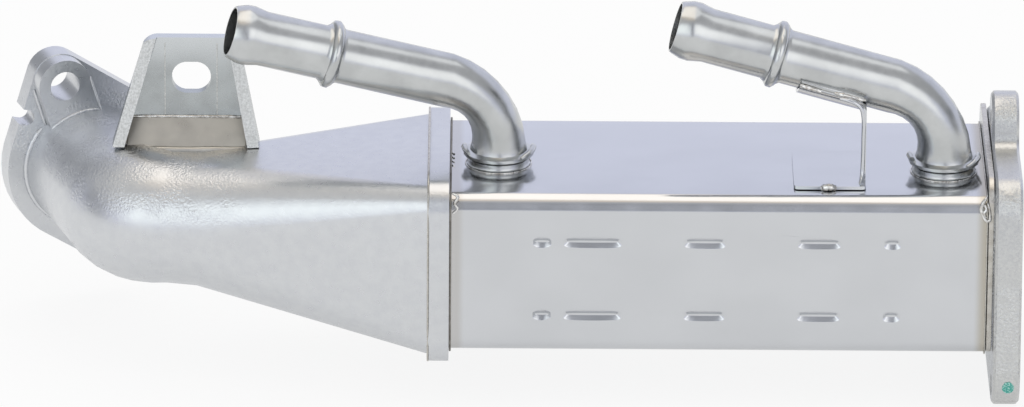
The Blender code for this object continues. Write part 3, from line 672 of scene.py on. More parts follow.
@dataclass
class SubAssembly:
    """Pieces that are dressed together, from the frame's CAD nodes.

    Past the sharp angle, in degrees, an edge stays sharp. Where a piece is softened, such
    edges are rounded, and then edges are shaded smooth up to a few degrees more.
    """

    nodes: dict[str, Piece]
    sharp: float = 34.0
    rounding_steps: int = 2
    rounded_more: float = 8.0

    def copy(self, node: str) -> Piece:
        """Copies a CAD node, merges its loose triangles and shades it smooth.

        Args:
            node: The node's name.

        Returns:
            The copy, which replaces the node.
        """
        piece = self.nodes[node].copy()
        piece.data = self.nodes[node].data.copy()
        for key in list(piece.keys()):
            del piece[key]
        piece.parent = None
        piece.name = node + ".dressed"
        bpy.context.scene.collection.objects.link(piece)
        pick(piece)
        bpy.ops.object.mode_set(mode="EDIT")
        bpy.ops.mesh.select_all(action="SELECT")
        bpy.ops.mesh.customdata_custom_splitnormals_clear()
        bpy.ops.mesh.remove_doubles(threshold=DOUBLES)
        bpy.ops.object.mode_set(mode="OBJECT")
        for polygon in piece.data.polygons:
            polygon.material_index = 0
        smooth(self.sharp)
        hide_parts(node)
        return piece

    def flatten(self, piece: Piece) -> None:
        """Joins the triangles of each flat face of a piece into one face."""
        pick(piece)
        angle = math.radians(ONE_FACE)
        modify(piece, "flat_faces", "DECIMATE", decimate_type="DISSOLVE", angle_limit=angle)

    def soften(self, piece: Piece, width: float) -> None:
        """Rounds a piece's edges a little, so that they catch the light.

        Args:
            piece: The piece, which stays one closed mesh.
            width: How far the rounding reaches from each edge, in millimetres.
        """
        self.flatten(piece)
        modify(
            piece,
            "edge_rounding",
            "BEVEL",
            width=width * MM,
            segments=self.rounding_steps,
            limit_method="ANGLE",
            angle_limit=math.radians(self.sharp),
            miter_outer="MITER_ARC",
        )
        smooth(self.sharp + self.rounded_more)


@dataclass
class CastInlet(SubAssembly):
    """The cast cone, elbow and two-ear flange in one piece, with the fillets at its boss.

    The arcs are ranges of the angle in degrees round the port, from its level line. Each
    fillet's line lies a little proud of the faces that it joins.
    """

    rounding: float = 0.45
    port: Place = (-276.784, 49.069, 3.1)
    facing: tuple[float, float] = (-0.325568, 0.945519)
    elbow_radius: float = 19.0
    boss_rise: float = 5.7
    boss_angle: float = 107.0
    boss_side: float = 8.2
    boss_reach: tuple[float, ...] = (17.0, 19.4, 21.8, 24.2, 26.6, 29.0)
    right_reach_less: float = 0.5
    boss_arc: range = range(131, 79, -4)
    flange_arc: range = range(138, 282, 6)
    proud: float = 0.1
    seam: Bead = Bead("seam_collar_left", frame_line(-173.9, 35.95, 29.35, 9.6), 0.32, closed=True)

    def at(self, turn: float, radius: float, rise: float, side: float = 0.0) -> Place:
        """Finds a point on the inlet flange's inner side.

        Args:
            turn: The angle in degrees round the port, from its level line.
            radius: The distance from the port's axis.
            rise: The height over the flange's face, towards the elbow.
            side: The distance to the side of that direction.

        Returns:
            The place in millimetres.
        """
        angle = math.radians(turn)
        across = radius * math.cos(angle) - side * math.sin(angle)
        up = radius * math.sin(angle) + side * math.cos(angle)
        x = self.port[0] - rise * self.facing[0] + across * self.facing[1]
        y = self.port[1] - rise * self.facing[1] - across * self.facing[0]
        return (x, y, self.port[2] + up)

    def fillets(self) -> tuple[Bead, ...]:
        """Works out the raised fillets where the elbow meets the flange and its boss.

        Returns:
            The fillets, not yet built.
        """
        proud = self.proud
        reach = self.elbow_radius + proud
        boss_foot = tuple(self.at(turn, reach, self.boss_rise + proud) for turn in self.boss_arc)
        flange_foot = tuple(self.at(turn, reach + proud, 3 * proud) for turn in self.flange_arc)
        left = [self.at(self.boss_angle, r, 2 * proud, self.boss_side + 2 * proud) for r in self.boss_reach]
        right = [
            self.at(self.boss_angle, r - self.right_reach_less, self.boss_rise, proud - self.boss_side)
            for r in self.boss_reach
        ]
        return (
            Bead("fillet_boss_foot", boss_foot, 0.55, 0.25),
            Bead("fillet_flange_foot", flange_foot, 0.8, 0.3),
            Bead("fillet_boss_left", tuple(left), 0.5, 0.15),
            Bead("fillet_boss_right", tuple(right), 0.35, 0.1),
        )

    def build(self) -> list[Piece]:
        """Dresses the casting and lays its fillets and its seam.

        Returns:
            The pieces.
        """
        casting = self.copy("inlet_cone")
        self.soften(casting, self.rounding)
        made = [dress(casting, Slot.CAST, CAST), *lay(self.fillets(), Slot.CAST, CAST)]
        return made + lay([self.seam], Slot.CAST, TINTED)


@dataclass
class CoolerCase(SubAssembly):
    """The rolled box with its pressed dimples and the welds at its corners.

    A dimple's floor lies between two depths, and the pressed faces of a dimple are smaller
    than dimple_area. The shortest dimples, whose floors are under shortest_floor, are spread.
    """

    sharp: float = 18.0
    rounding: float = 0.35
    side: float = 34.5
    side_skin: float = 0.02
    dimple_floor: tuple[float, float] = (33.0, 33.4)
    dimple_facing: float = 0.9
    dimple_area: float = 60.0
    dimple_reach: float = 16.0
    dimple_ends: tuple[float, float] = (-160.0, -20.0)
    dimple_half: float = 4.5
    dimple_lift: float = 0.45
    floor_share: Place = (0.96, 1.0, 0.5)
    shortest_floor: float = 3.4
    shortest_share: Place = (1.6, 1.0, 0.5)
    shortest_spread: Place = (1.4, 1.0, 1.0)
    slope_cuts: int = 2
    slope_ease: float = 0.5
    slope_passes: int = 14
    slope_more: float = 14.0
    beads: tuple[Bead, ...] = (
        Bead(
            "weld_right_corner",
            (
                (-10.3, -33.4, 25.4), (-10.9, -34.5, 24.9), (-12.0, -34.9, 23.0), (-12.1, -34.9, 21.2),
                (-11.5, -34.9, 19.6), (-10.6, -34.9, 18.3), (-9.9, -34.9, 18.2), (-9.6, -34.9, 20.0),
                (-9.8, -34.9, 22.0), (-10.3, -34.7, 23.6),
            ),
            radius=0.5, lumps=0.3, swell=0.35,
        ),
        Bead(
            "weld_right_filler",
            ((-11.2, -34.8, 23.2), (-10.7, -34.9, 21.8), (-11.3, -34.9, 20.6), (-10.6, -34.8, 19.2)),
            radius=0.6, lumps=0.4, swell=0.3,
        ),
        Bead(
            "weld_left_corner",
            (
                (-166.9, -33.6, 25.2), (-165.3, -34.4, 24.4), (-166.2, -34.9, 22.7),
                (-165.4, -34.9, 21.0), (-166.7, -34.9, 19.5),
            ),
            radius=0.42, lumps=0.2, swell=0.3,
        ),
    )
    tack: Line = ((-167.0, 2.3, 24.5), (-166.5, 1.3, 24.55))
    tack_pitch: float = 3.4
    tack_count: int = 4
    tack_radius: float = 0.45
    tack_lumps: float = 0.2
    # The left seam is a dark bead of painted shade.
    left_seam: Bead = Bead("seam_case_left", frame_line(-167.4, 34.65, 24.65, 3.4), 0.3, closed=True)
    right_seam: Bead = Bead("seam_case_right", frame_line(-10.3, 34.6, 24.6, 3.4), 0.22, closed=True)

    def tacks(self) -> list[Bead]:
        """Works out the row of tack welds behind the collar.

        Returns:
            The tacks, not yet built.
        """
        made = []
        for step in range(self.tack_count):
            points = tuple((x, y - self.tack_pitch * step, z) for x, y, z in self.tack)
            made.append(Bead(f"tack_left_{step + 1}", points, self.tack_radius, self.tack_lumps))
        return made

    def is_floor(self, polygon: bpy.types.MeshPolygon) -> bool:
        """Tells whether a face is the floor of a dimple.

        Args:
            polygon: The face.

        Returns:
            Whether it is.
        """
        place = polygon.center / MM
        low, high = self.dimple_floor
        deep = low < abs(place.y) < high and abs(place.z) < self.dimple_reach
        small = polygon.area < self.dimple_area * MM * MM
        return deep and small and abs(polygon.normal.y) > self.dimple_facing

    def ease_dimples(self, box: Piece) -> None:
        """Narrows each dimple's floor and lifts it, for long slopes, and spreads the shortest.

        Args:
            box: The copy of the case, with flat faces joined.
        """
        pick(box)
        for middle, area in [(p.center.copy(), p.area) for p in box.data.polygons if self.is_floor(p)]:
            shortest = area < self.shortest_floor * MM * MM
            choose(box, "FACE", lambda p: (p.center - middle).length < SAME_PLACE)
            share = self.shortest_share if shortest else self.floor_share
            bpy.ops.transform.resize(value=share, center_override=middle)
            lift = math.copysign(self.dimple_lift * MM, middle.y)
            bpy.ops.transform.translate(value=(0.0, lift, 0.0))
            bpy.ops.object.mode_set(mode="OBJECT")
            if shortest:
                half = self.dimple_half * MM
                choose(box, "VERT", lambda v: max(abs(away) for away in v.co - middle) < half)
                bpy.ops.transform.resize(value=self.shortest_spread, center_override=middle)
                bpy.ops.object.mode_set(mode="OBJECT")

    def is_sunk(self, place: Vector) -> bool:
        """Tells whether a place lies in a dimple.

        Args:
            place: The place in metres.

        Returns:
            Whether it does.
        """
        x, y, z = place / MM
        in_row = self.dimple_ends[0] < x < self.dimple_ends[1] and abs(z) < self.dimple_reach
        return in_row and self.dimple_floor[0] < abs(y) < self.side - self.side_skin

    def round_dimples(self, box: Piece) -> None:
        """Divides the dimples' slopes and smooths them into soft bowls.

        Args:
            box: The case with its edges rounded.
        """
        pick(box)
        largest = self.dimple_area * MM * MM
        choose(box, "FACE", lambda p: self.is_sunk(p.center) and p.area < largest)
        bpy.ops.mesh.subdivide(number_cuts=self.slope_cuts)
        bpy.ops.object.mode_set(mode="OBJECT")
        choose(box, "VERT", lambda v: self.is_sunk(v.co))
        bpy.ops.mesh.vertices_smooth(factor=self.slope_ease, repeat=self.slope_passes)
        bpy.ops.mesh.select_mode(type="FACE")
        bpy.ops.object.mode_set(mode="OBJECT")
        smooth(self.sharp + self.slope_more)

    def build(self) -> list[Piece]:
        """Dresses the box and lays its welds and seams.

        Returns:
            The pieces.
        """
        box = self.copy("cooler_case")
        self.flatten(box)
        self.ease_dimples(box)
        self.soften(box, self.rounding)
        self.round_dimples(box)
        made = [dress(box, Slot.ROLLED, ROLLED)]
        made += lay((*self.beads, *self.tacks()), Slot.PLATE, WELD)
        # The left seam's bead wears painted shade.
        made += lay([self.left_seam], Slot.PLATE, PAINTED_SHADE)
        return made + lay([self.right_seam], Slot.PLATE, TINTED)


@dataclass
class OutletEnd(SubAssembly):
    """The cast outlet flange, the header plate behind it and the inspection mark.

    The mark is dabbed where a line from the first place towards the second meets the rim.
    """

    rounding: float = 0.6
    header_rounding: float = 0.3
    flat: float = 0.98
    mark_from: Place = (-3.4, -71.05, -20.4)
    mark_towards: Place = (-3.5, -43.0, -31.0)
    mark_radius: float = 1.9
    mark_shape: Place = (0.92, 1.0, 1.2)
    mark_sides: int = 28
    mark_rings: int = 3
    mark_ring_share: float = 0.22
    mark_wobble: float = 0.12
    mark_off: float = 0.12
    mark_coat: float = 0.1

    def mark(self, flange: Piece) -> Piece:
        """Dabs the inspection mark on the rim's lower front corner.

        Args:
            flange: The dressed flange that the paint lies on.

        Returns:
            The dressed mark.
        """
        start = Vector(self.mark_from) * MM
        along = (Vector(self.mark_towards) * MM - start).normalized()
        _, place, normal, _ = flange.ray_cast(start, along)
        turn = normal.to_track_quat("Z", "Y").to_euler()
        radius = self.mark_radius * MM
        bpy.ops.object.select_all(action="DESELECT")
        bpy.ops.mesh.primitive_circle_add(
            vertices=self.mark_sides, radius=radius, fill_type="NGON", location=place, rotation=turn
        )
        bpy.ops.transform.resize(value=self.mark_shape, center_override=place)
        dab = bpy.context.object
        dab.name = "inspection_mark"
        dice = random.Random(dab.name)
        bpy.ops.object.mode_set(mode="EDIT")
        bpy.ops.mesh.select_all(action="SELECT")
        for _ in range(self.mark_rings):
            bpy.ops.mesh.inset(thickness=radius * self.mark_ring_share)
        bpy.ops.mesh.select_all(action="SELECT")
        bpy.ops.transform.vertex_random(offset=self.mark_wobble * MM, seed=dice.randint(1, 99))
        bpy.ops.object.mode_set(mode="OBJECT")
        settle(dab)
        on_rim = {"target": flange, "wrap_mode": "ABOVE_SURFACE", "offset": self.mark_off * MM}
        modify(dab, "on_the_rim", "SHRINKWRAP", **on_rim)
        modify(dab, "coat", "SOLIDIFY", thickness=self.mark_coat * MM)
        smooth(SHARP)
        return dress(dab, Slot.CAST, Paint())

    def build(self) -> list[Piece]:
        """Dresses the flange and the plate and dabs the mark.

        Returns:
            The pieces.
        """
        flange = self.copy("outlet_flange")
        self.soften(flange, self.rounding)
        for polygon in flange.data.polygons:
            polygon.material_index = int(abs(polygon.normal.x) > self.flat)
        dress(flange, Slot.CAST, CAST_RIM, MILLED)
        header = self.copy("outlet_header_plate")
        self.soften(header, self.header_rounding)
        for polygon in header.data.polygons:
            polygon.material_index = int(abs(polygon.normal.x) < self.flat)
        dress(header, Slot.PLATE, TRIMMED, TINTED)
        return [flange, header, self.mark(flange)]


@dataclass
class SlottedBracket(SubAssembly):
    """The bent plate bracket, with its torn edges, its foot in a painted warm reflection and two press
    lines.

    The foot's face is a plate that runs from the fold down into the casting.
    """

    rounding: float = 0.35
    web_front: float = 16.5
    foot_top: float = 30.3
    foot_facing: float = -0.2
    edge_depth: float = 0.8
    edge_facing: float = -0.75
    inner_facing: float = 0.5
    inner_area: float = 20.0
    fold: tuple[float, float] = (-262.0, -229.5)
    fold_steps: int = 12
    ridge_sunk: float = 0.1
    middle: float = -246.0
    face_centre: Place = (-245.8, 12.89, 24.55)
    face_size: Place = (35.4, 1.6, 12.9)
    face_lean: float = 37.85
    face_rounding: float = 0.3
    press_lines: tuple[tuple[str, float], ...] = (("left", -252.3), ("right", -236.9))
    press_height: float = 42.2
    press_proud: float = 0.05
    press_size: Place = (0.34, 0.3, 22.4)
    press_rounding: float = 0.04
    fillet: Bead = Bead(
        "fillet_bracket_foot",
        (
            (-262.6, 9.8, 22.6), (-254.0, 9.7, 22.3), (-246.0, 9.6, 22.2),
            (-238.0, 9.7, 22.3), (-228.9, 9.8, 22.6),
        ),
        radius=1.1, lumps=0.2,
    )

    def finish_of(self, polygon: bpy.types.MeshPolygon) -> int:
        """Tells which finish a face has, by its place and the way it faces.

        Args:
            polygon: The face.

        Returns:
            0 for the plate, 1 for its torn edge, 2 for its foot in a painted warm reflection and 3
            for the inner sides in painted shade.
        """
        left, right = self.fold
        x, y, z = polygon.center / MM
        # The foot's faces get the painted warm reflection.
        if left < x < right and z < self.foot_top and polygon.normal.y < self.foot_facing:
            return 2
        if polygon.normal.y < self.edge_facing and y < self.web_front - self.edge_depth:
            return 1
        # Large faces turned inwards get painted shade.
        inwards = polygon.normal.x * math.copysign(1.0, self.middle - x)
        large = polygon.area > self.inner_area * MM * MM
        return 3 if inwards > self.inner_facing and large else 0

    def foot_face(self) -> Piece:
        """Makes the foot's face.

        Returns:
            The dressed plate.
        """
        edges = (self.face_rounding, self.rounding_steps)
        plate = block("bracket_foot_face", self.face_centre, self.face_size, self.face_lean, *edges)
        # The foot's face wears the painted warm reflection.
        return dress(plate, Slot.PLATE, PAINTED_WARM_REFLECTION)

    def press_line(self, side: str, x: float) -> Piece:
        """Makes one of the fine bright lines that the press tool left on the web.

        Args:
            side: Its side, for its name.
            x: Its place along the part, in millimetres.

        Returns:
            The dressed line.
        """
        centre = (x, self.web_front + self.press_proud, self.press_height)
        line = block(f"press_line_{side}", centre, self.press_size, 0.0, self.press_rounding, 1)
        return dress(line, Slot.PLATE, SHEARED)

    def ridge(self) -> Bead:
        """Works out the ridge along the fold, which wears bright weld metal as a painted highlight.

        Returns:
            The ridge, not yet built.
        """
        left, right = self.fold
        y = self.web_front - self.ridge_sunk
        line = [left + (right - left) * step / self.fold_steps for step in range(self.fold_steps + 1)]
        return Bead("ridge_bracket_fold", tuple((x, y, self.foot_top) for x in line), 0.5, 0.2)

    def build(self) -> list[Piece]:
        """Dresses the bracket and adds its ridge, foot, press lines and fillet.

        Returns:
            The pieces.
        """
        bracket = self.copy("slotted_bracket")
        self.soften(bracket, self.rounding)
        for polygon in bracket.data.polygons:
            polygon.material_index = self.finish_of(polygon)
        # The foot wears the painted warm reflection and the inner sides wear painted shade.
        dress(bracket, Slot.PLATE, PRESSED, SHEARED, PAINTED_WARM_REFLECTION, PAINTED_SHADE)
        # The ridge wears the bright weld finish: a painted highlight along the fold's rounded ridge.
        made = [bracket, *lay([self.ridge()], Slot.PLATE, WELD)]
        made += [self.press_line(side, x) for side, x in self.press_lines]
        # The fillet under the foot wears the painted warm reflection, which dims its highlight as painted
        # shade.
        return [*made, self.foot_face(), *lay([self.fillet], Slot.CAST, PAINTED_WARM_REFLECTION)]


@dataclass
class CoolantPipes(SubAssembly):
    """The two bent nipples, the sockets they stand in, their rolled lips and stop rings.

    Each foot has its side and its place seen from above. Each stop ring has its side, its
    centre and how far its pipe swings to the back, in degrees. A lip's arc runs from one
    step to another round a ring of lip_steps, counted from its right.
    """

    sharp: float = 40.0
    case_top: float = 24.5
    feet: tuple[tuple[str, float, float], ...] = (("inlet", -153.4, -5.6), ("outlet", -22.4, -10.1))
    foot_radius: float = 9.7
    foot_rise: float = 0.15
    foot_bead: tuple[float, float] = (0.22, 0.08)
    lip_radius: float = 10.15
    lip_rise: float = 4.3
    lip_wave: float = 0.8
    lip_steps: int = 36
    lip_arcs: tuple[tuple[str, int, int], ...] = (("right", -5, 2), ("left", 17, 22))
    lip_bead: tuple[float, float, float] = (0.85, 0.2, 0.2)
    stops: tuple[tuple[str, Place, float], ...] = (
        ("inlet", (-202.67, -12.525, 60.77), 8.0),
        ("outlet", (-72.155, -10.1, 60.77), 0.0),
    )
    tilt: float = 15.7
    stop_radius: float = 8.35
    stop_thickness: float = 1.75

    def lips(self) -> list[Piece]:
        """Turns up the seating rings' sides and lays the bead round each socket's foot.

        Returns:
            The dressed lips and beads.
        """
        made = []
        for side, x, y in self.feet:
            height = self.case_top + self.lip_rise
            seat = ring((x, y), self.lip_radius, height, self.lip_wave, self.lip_steps)
            for end, start, stop in self.lip_arcs:
                arc = tuple(seat[step] for step in range(start, stop))
                made += lay([Bead(f"{side}_pipe_lip_{end}", arc, *self.lip_bead)], Slot.DRAWN, DRAWN)
            line = ring((x, y), self.foot_radius, self.case_top + self.foot_rise)
            foot = Bead(f"{side}_pipe_foot_bead", line, *self.foot_bead, closed=True)
            made += lay([foot], Slot.DRAWN, WELD)
        return made

    def stop_rings(self) -> list[Piece]:
        """Rounds the rings that stop the hoses.

        Returns:
            The dressed rings.
        """
        made = []
        upright = Matrix.Rotation(math.radians(90), 3, "Y")
        for side, middle, swing in self.stops:
            turn = Matrix.Rotation(math.radians(swing), 3, "Z")
            turn = turn @ Matrix.Rotation(math.radians(self.tilt), 3, "Y") @ upright
            level = ring((0.0, 0.0), self.stop_radius, 0.0)
            points = tuple(tuple(turn @ Vector(place) + Vector(middle)) for place in level)
            bead = Bead(f"{side}_pipe_stop_ring", points, self.stop_thickness, closed=True)
            made += lay([bead], Slot.DRAWN, DRAWN)
        return made

    def build(self) -> list[Piece]:
        """Dresses the pipes and the sockets and adds their lips and stop rings.

        Returns:
            The pieces.
        """
        made = []
        for side, _, _ in self.feet:
            pipe = self.copy(f"coolant_{side}_pipe")
            modify(pipe, "long_faces_stay_straight", "WEIGHTED_NORMAL", keep_sharp=True)
            socket = self.copy(f"{side}_pipe_socket")
            made += [dress(pipe, Slot.DRAWN, DRAWN), dress(socket, Slot.DRAWN, DRAWN)]
        return made + self.lips() + self.stop_rings()


@dataclass
class PipeStrap(SubAssembly):
    """The bent sheet that holds the outlet pipe up, its rolled front edge and its welds.

    Each trim cuts the strap at a place and takes away what lies past it in a direction: first
    the sharp corner of its bend, then the saddle's top, which the braze takes up.
    """

    sharp: float = 25.0
    rounding: float = 0.3
    trims: tuple[tuple[Place, Place], ...] = (
        ((-47.6, 0.0, 49.2), (1.0, 0.0, 1.0)),
        ((-62.0, -18.3, 53.6), (0.271, 0.0, 0.963)),
    )
    edge: Bead = Bead(
        "strap_rolled_edge",
        (
            (-53.6, -20.0, 50.6), (-51.0, -20.3, 50.1), (-48.9, -20.6, 49.3), (-47.4, -20.6, 47.9),
            (-46.7, -20.8, 45.8), (-46.5, -21.0, 38.1), (-46.6, -21.3, 30.5), (-46.9, -22.5, 26.9),
            (-47.5, -24.6, 25.9),
        ),
        radius=0.62,
    )
    welds: tuple[Bead, ...] = (
        Bead(
            "weld_strap_pad",
            ((-58.8, -27.0, 25.2), (-57.4, -27.5, 25.7), (-56.0, -27.5, 25.7), (-54.7, -27.0, 25.2)),
            radius=1.25, lumps=0.7, swell=0.2,
        ),
        Bead(
            "weld_strap_left",
            ((-65.3, -18.4, 54.2), (-63.6, -18.5, 53.6), (-61.4, -18.5, 53.0), (-59.1, -18.5, 52.3)),
            radius=0.65, lumps=0.35, swell=0.25,
        ),
        Bead(
            "weld_strap_right",
            (
                (-55.2, -18.5, 51.8), (-52.6, -18.6, 51.2), (-50.1, -18.7, 50.6),
                (-47.9, -18.7, 49.9), (-46.0, -18.4, 49.6),
            ),
            radius=0.65, lumps=0.35, swell=0.25,
        ),
    )
    braze: Bead = Bead(
        "braze_strap_saddle",
        ((-64.8, -17.6, 54.9), (-58.4, -17.6, 53.1), (-52.2, -17.6, 51.4), (-46.6, -17.6, 49.8)),
        0.95,
    )

    def build(self) -> list[Piece]:
        """Dresses the strap, trims it and lays its edge, its welds and its braze.

        Returns:
            The pieces.
        """
        strap = self.copy("pipe_strap")
        bpy.ops.object.mode_set(mode="EDIT")
        for place, facing in self.trims:
            cut = {"plane_co": Vector(place) * MM, "plane_no": facing}
            bpy.ops.mesh.select_all(action="SELECT")
            bpy.ops.mesh.bisect(**cut, use_fill=True, clear_outer=True)
        bpy.ops.object.mode_set(mode="OBJECT")
        self.soften(strap, self.rounding)
        made = [dress(strap, Slot.PLATE, ROLLED), *lay([self.edge], Slot.PLATE, ROLLED)]
        made += lay(self.welds, Slot.PLATE, WELD)
        return made + lay([self.braze], Slot.PLATE, DRAWN)


@dataclass
class Core(SubAssembly):
    """The gas tubes, their fins and the inlet header plate, which show through the ports."""

    header: str = "inlet_header"
    prefixes: tuple[str, ...] = ("gas_tube", "gas_fin", "inlet_header")

    def build(self) -> list[Piece]:
        """Gives the core's CAD nodes their finish.

        Returns:
            The dressed nodes.
        """
        made = [node for name, node in sorted(self.nodes.items()) if name.startswith(self.prefixes)]
        for node in made:
            node.data.materials.clear()
            node.data.materials.append(BRAZED.material())
        return made


@dataclass(frozen=True)
class Card:
    """A patch of the room's walls, by direction from the object, that bare metal mirrors.

    Sideways is the angle out to the right. Pitch runs from 0 at the camera's horizon over 90
    overhead to 180 behind, and is negative below. Both are in degrees, and edge is how far the
    patch fades out past its limits.
    """

    sideways: tuple[float, float]
    pitch: tuple[float, float]
    hue: str
    light: float = 1.0
    edge: float = 8.0


@dataclass
class Studio:
    """A pale room: white floor and back, two soft windows beside a dim camera side.

    The room's own sizes and the lamp's are in metres.
    """

    floor_drop: float = 0.0002
    floor_size: float = 12.0
    floor_hue: str = "F4F4F4"
    floor_share_seen: float = 0.86
    floor_share_mirrored: float = 0.6
    white: str = "FFFFFF"
    back_hue: str = "EBEEFF"
    cards: tuple[Card, ...] = (
        Card((-90, 90), (44, 126), "C2C3C6", 1.0, 12),
        Card((-62, -20), (124, 210), "A3A5AA", 1.0, 10),
        Card((-62, -20), (-210, -150), "A3A5AA", 1.0, 10),
        Card((-60, -15), (56, 112), "DBDAD8"),
        Card((-19, 8), (74, 104), "F3E6D6", 1.12, 5),
        Card((-8, 8), (62, 132), "F3E6D6", 1.12, 6),
        Card((-46, -9), (6, 46), "FAFFFF", 1.5),
        Card((9, 46), (6, 46), "FFFFFF", 1.5),
        Card((-5, 5), (0, 50), "9A9C9F", 1.0, 6),
        Card((-120, -66), (-40, 150), "9C9EA3", 1.0, 12),
        Card((66, 120), (-40, 150), "9C9EA3", 1.0, 12),
    )
    sky_light: float = 0.85
    lamp_away: Place = (0.15, 0.2, 1.4)
    lamp_size: float = 1.2
    lamp_watts: float = 3.0

    def floor_material(self) -> bpy.types.Material:
        """Makes the floor: white to the eye and in mirrors, and lit, so shadows stay.

        Returns:
            The floor's material.
        """
        sheet = bpy.data.materials.new("paper floor, white")
        tree = blank(sheet)
        matt = put(tree, "ShaderNodeBsdfDiffuse", {"Color": linear(self.floor_hue)})
        glow = put(tree, "ShaderNodeEmission", {"Color": linear(self.white), "Strength": 1.0})
        ray = put(tree, "ShaderNodeLightPath").outputs
        mirrored = reckon(tree, "MAXIMUM", ray["Is Glossy Ray"], ray["Is Transmission Ray"])
        dimmed = reckon(tree, "MULTIPLY", mirrored, self.floor_share_mirrored)
        share = reckon(tree, "MULTIPLY_ADD", ray["Is Camera Ray"], self.floor_share_seen, dimmed)
        mixed = put(tree, "ShaderNodeMixShader", {0: share, 1: matt.outputs[0], 2: glow.outputs[0]})
        put(tree, "ShaderNodeOutputMaterial", {"Surface": mixed.outputs[0]})
        return sheet

    def floor(self, lowest: float) -> None:
        """Lays the floor under the object.

        Args:
            lowest: The height of the object's lowest point.
        """
        bpy.ops.object.select_all(action="DESELECT")
        place = (0, 0, lowest - self.floor_drop)
        bpy.ops.mesh.primitive_plane_add(size=self.floor_size, location=place)
        plane = bpy.context.object
        plane.name = "studio_floor"
        plane.data.materials.append(self.floor_material())
        plane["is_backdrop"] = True

    def within(self, tree: Tree, angle: Socket, limits: tuple[float, float], edge: float) -> Socket:
        """Tells how far an angle lies inside two limits, with soft edges.

        Args:
            tree: The world's node tree.
            angle: The angle's socket, in degrees.
            limits: The lower and the upper limit.
            edge: How far the edges fade.

        Returns:
            A socket with 1 inside and 0 outside.
        """
        low, high = limits
        rises = rescale(tree, angle, low - edge, low + edge, curve="SMOOTHSTEP")
        falls = rescale(tree, angle, high + edge, high - edge, curve="SMOOTHSTEP")
        return reckon(tree, "MULTIPLY", rises, falls)

    def directions(self, tree: Tree) -> tuple[Socket, Socket]:
        """Works out where a ray points.

        Args:
            tree: The world's node tree.

        Returns:
            The sockets with its angle sideways and its pitch, in degrees.
        """
        where = put(tree, "ShaderNodeTexCoord").outputs["Generated"]
        axes = put(tree, "ShaderNodeSeparateXYZ", {0: where}).outputs
        towards = reckon(tree, "MULTIPLY", axes["Y"], -1.0)
        sideways = reckon(tree, "ARCSINE", axes["X"])
        pitch = reckon(tree, "ARCTAN2", axes["Z"], towards)
        return reckon(tree, "DEGREES", sideways), reckon(tree, "DEGREES", pitch)

    def room(self, tree: Tree) -> Socket:
        """Lays the cards over the room's back wall.

        Args:
            tree: The world's node tree.

        Returns:
            The socket with the colour that bare metal mirrors.
        """
        sideways, pitch = self.directions(tree)
        wall = put(tree, "ShaderNodeRGB").outputs[0]
        wall.default_value = linear(self.back_hue)
        for card in self.cards:
            across = self.within(tree, sideways, card.sideways, card.edge)
            upwards = self.within(tree, pitch, card.pitch, card.edge)
            share = reckon(tree, "MULTIPLY", across, upwards)
            lit = [channel * card.light for channel in linear(card.hue)[:3]]
            hue = put(tree, "ShaderNodeCombineColor", dict(enumerate(lit)))
            wall = blend_colours(tree, share, wall, hue.outputs[0])
        return wall

    def world(self) -> None:
        """Makes the room: plain white to the camera, and its cards to bare metal."""
        world = bpy.data.worlds.new("white room")
        bpy.context.scene.world = world
        tree = blank(world)
        mirrored = put(tree, "ShaderNodeBackground", {0: self.room(tree), "Strength": 1.0})
        white = linear(self.white)
        plain = put(tree, "ShaderNodeBackground", {0: white, "Strength": self.sky_light})
        seen = put(tree, "ShaderNodeBackground", {0: white, "Strength": 1.0})
        ray = put(tree, "ShaderNodeLightPath").outputs
        ends = {0: ray["Is Glossy Ray"], 1: plain.outputs[0], 2: mirrored.outputs[0]}
        light = put(tree, "ShaderNodeMixShader", ends)
        ends = {0: ray["Is Camera Ray"], 1: light.outputs[0], 2: seen.outputs[0]}
        mixed = put(tree, "ShaderNodeMixShader", ends)
        put(tree, "ShaderNodeOutputWorld", {"Surface": mixed.outputs[0]})

    def lamp(self, aim: Vector) -> None:
        """Hangs the one square soft lamp.

        Args:
            aim: The point it faces.
        """
        data = bpy.data.lights.new("softbox_top", "AREA")
        data.size = self.lamp_size
        data.energy = self.lamp_watts
        lamp = bpy.data.objects.new("softbox_top", data)
        lamp.location = place = aim + Vector(self.lamp_away)
        lamp.rotation_euler = (aim - place).to_track_quat("-Z", "Y").to_euler()
        bpy.context.scene.collection.objects.link(lamp)

    def build(self) -> None:
        """Sets up the room, the floor and the lamp."""
        low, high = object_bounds()
        self.floor(low[2])
        self.world()
        self.lamp((Vector(low) + Vector(high)) / 2)
        bpy.context.scene.view_settings.view_transform = "Standard"


@dataclass
class PhotoCamera:
    """The camera at the photograph's angle: a long lens, a little above the object.

    The target and the distance are in metres, the turns in degrees.
    """

    target: Place = (-0.14935, 0.0, 0.0095555)
    distance: float = 3.2955
    yaw: float = 0.113
    elevation: float = 20.7
    roll: float = 0.4145
    lens: float = 391.8

    def build(self) -> None:
        """Places the camera and makes it the scene's own."""
        yaw, down, roll = [math.radians(turn) for turn in (self.yaw, self.elevation, self.roll)]
        ahead = math.cos(down)
        forward = Vector((math.sin(yaw) * ahead, math.cos(yaw) * ahead, -math.sin(down)))
        level = Vector((math.cos(yaw), -math.sin(yaw), 0.0))
        upright = level.cross(forward)
        right = math.cos(roll) * level + math.sin(roll) * upright
        up = math.cos(roll) * upright - math.sin(roll) * level
        data = bpy.data.cameras.new("photo_camera")
        data.lens = self.lens
        camera = bpy.data.objects.new("photo_camera", data)
        turn = Matrix((right, up, -forward)).transposed().to_4x4()
        place = Vector(self.target) - forward * self.distance
        camera.matrix_world = Matrix.Translation(place) @ turn
        bpy.context.scene.collection.objects.link(camera)
        bpy.context.scene.camera = camera


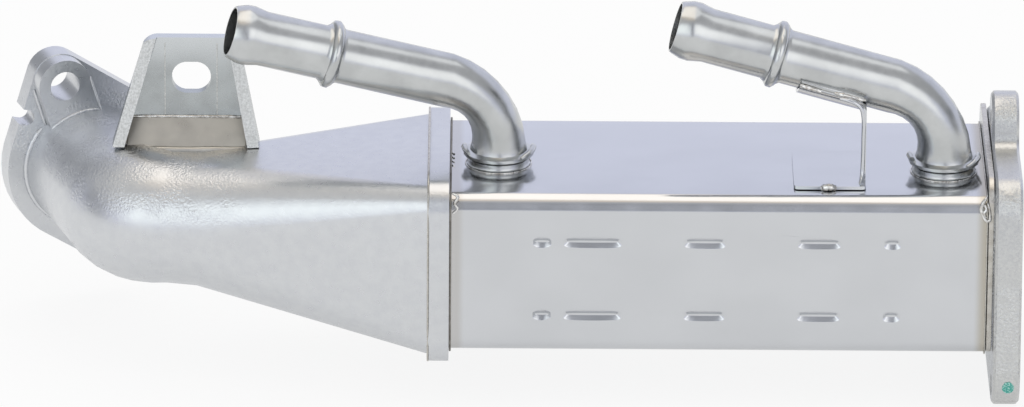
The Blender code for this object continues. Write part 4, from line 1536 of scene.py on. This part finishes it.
def main() -> None:
    """Builds the looks in order and notes each piece's count of faces."""
    logging.basicConfig(level=logging.INFO, format="%(message)s")
    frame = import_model()
    order = (Core, CoolerCase, OutletEnd, CastInlet, SlottedBracket, CoolantPipes, PipeStrap)
    for assembly in order:
        for piece in assembly(frame["nodes"]).build():
            LOG.info("%s: %d faces", piece.name, len(piece.data.polygons))
    PhotoCamera().build()
    Studio().build()


if __name__ == "__main__":
    main()
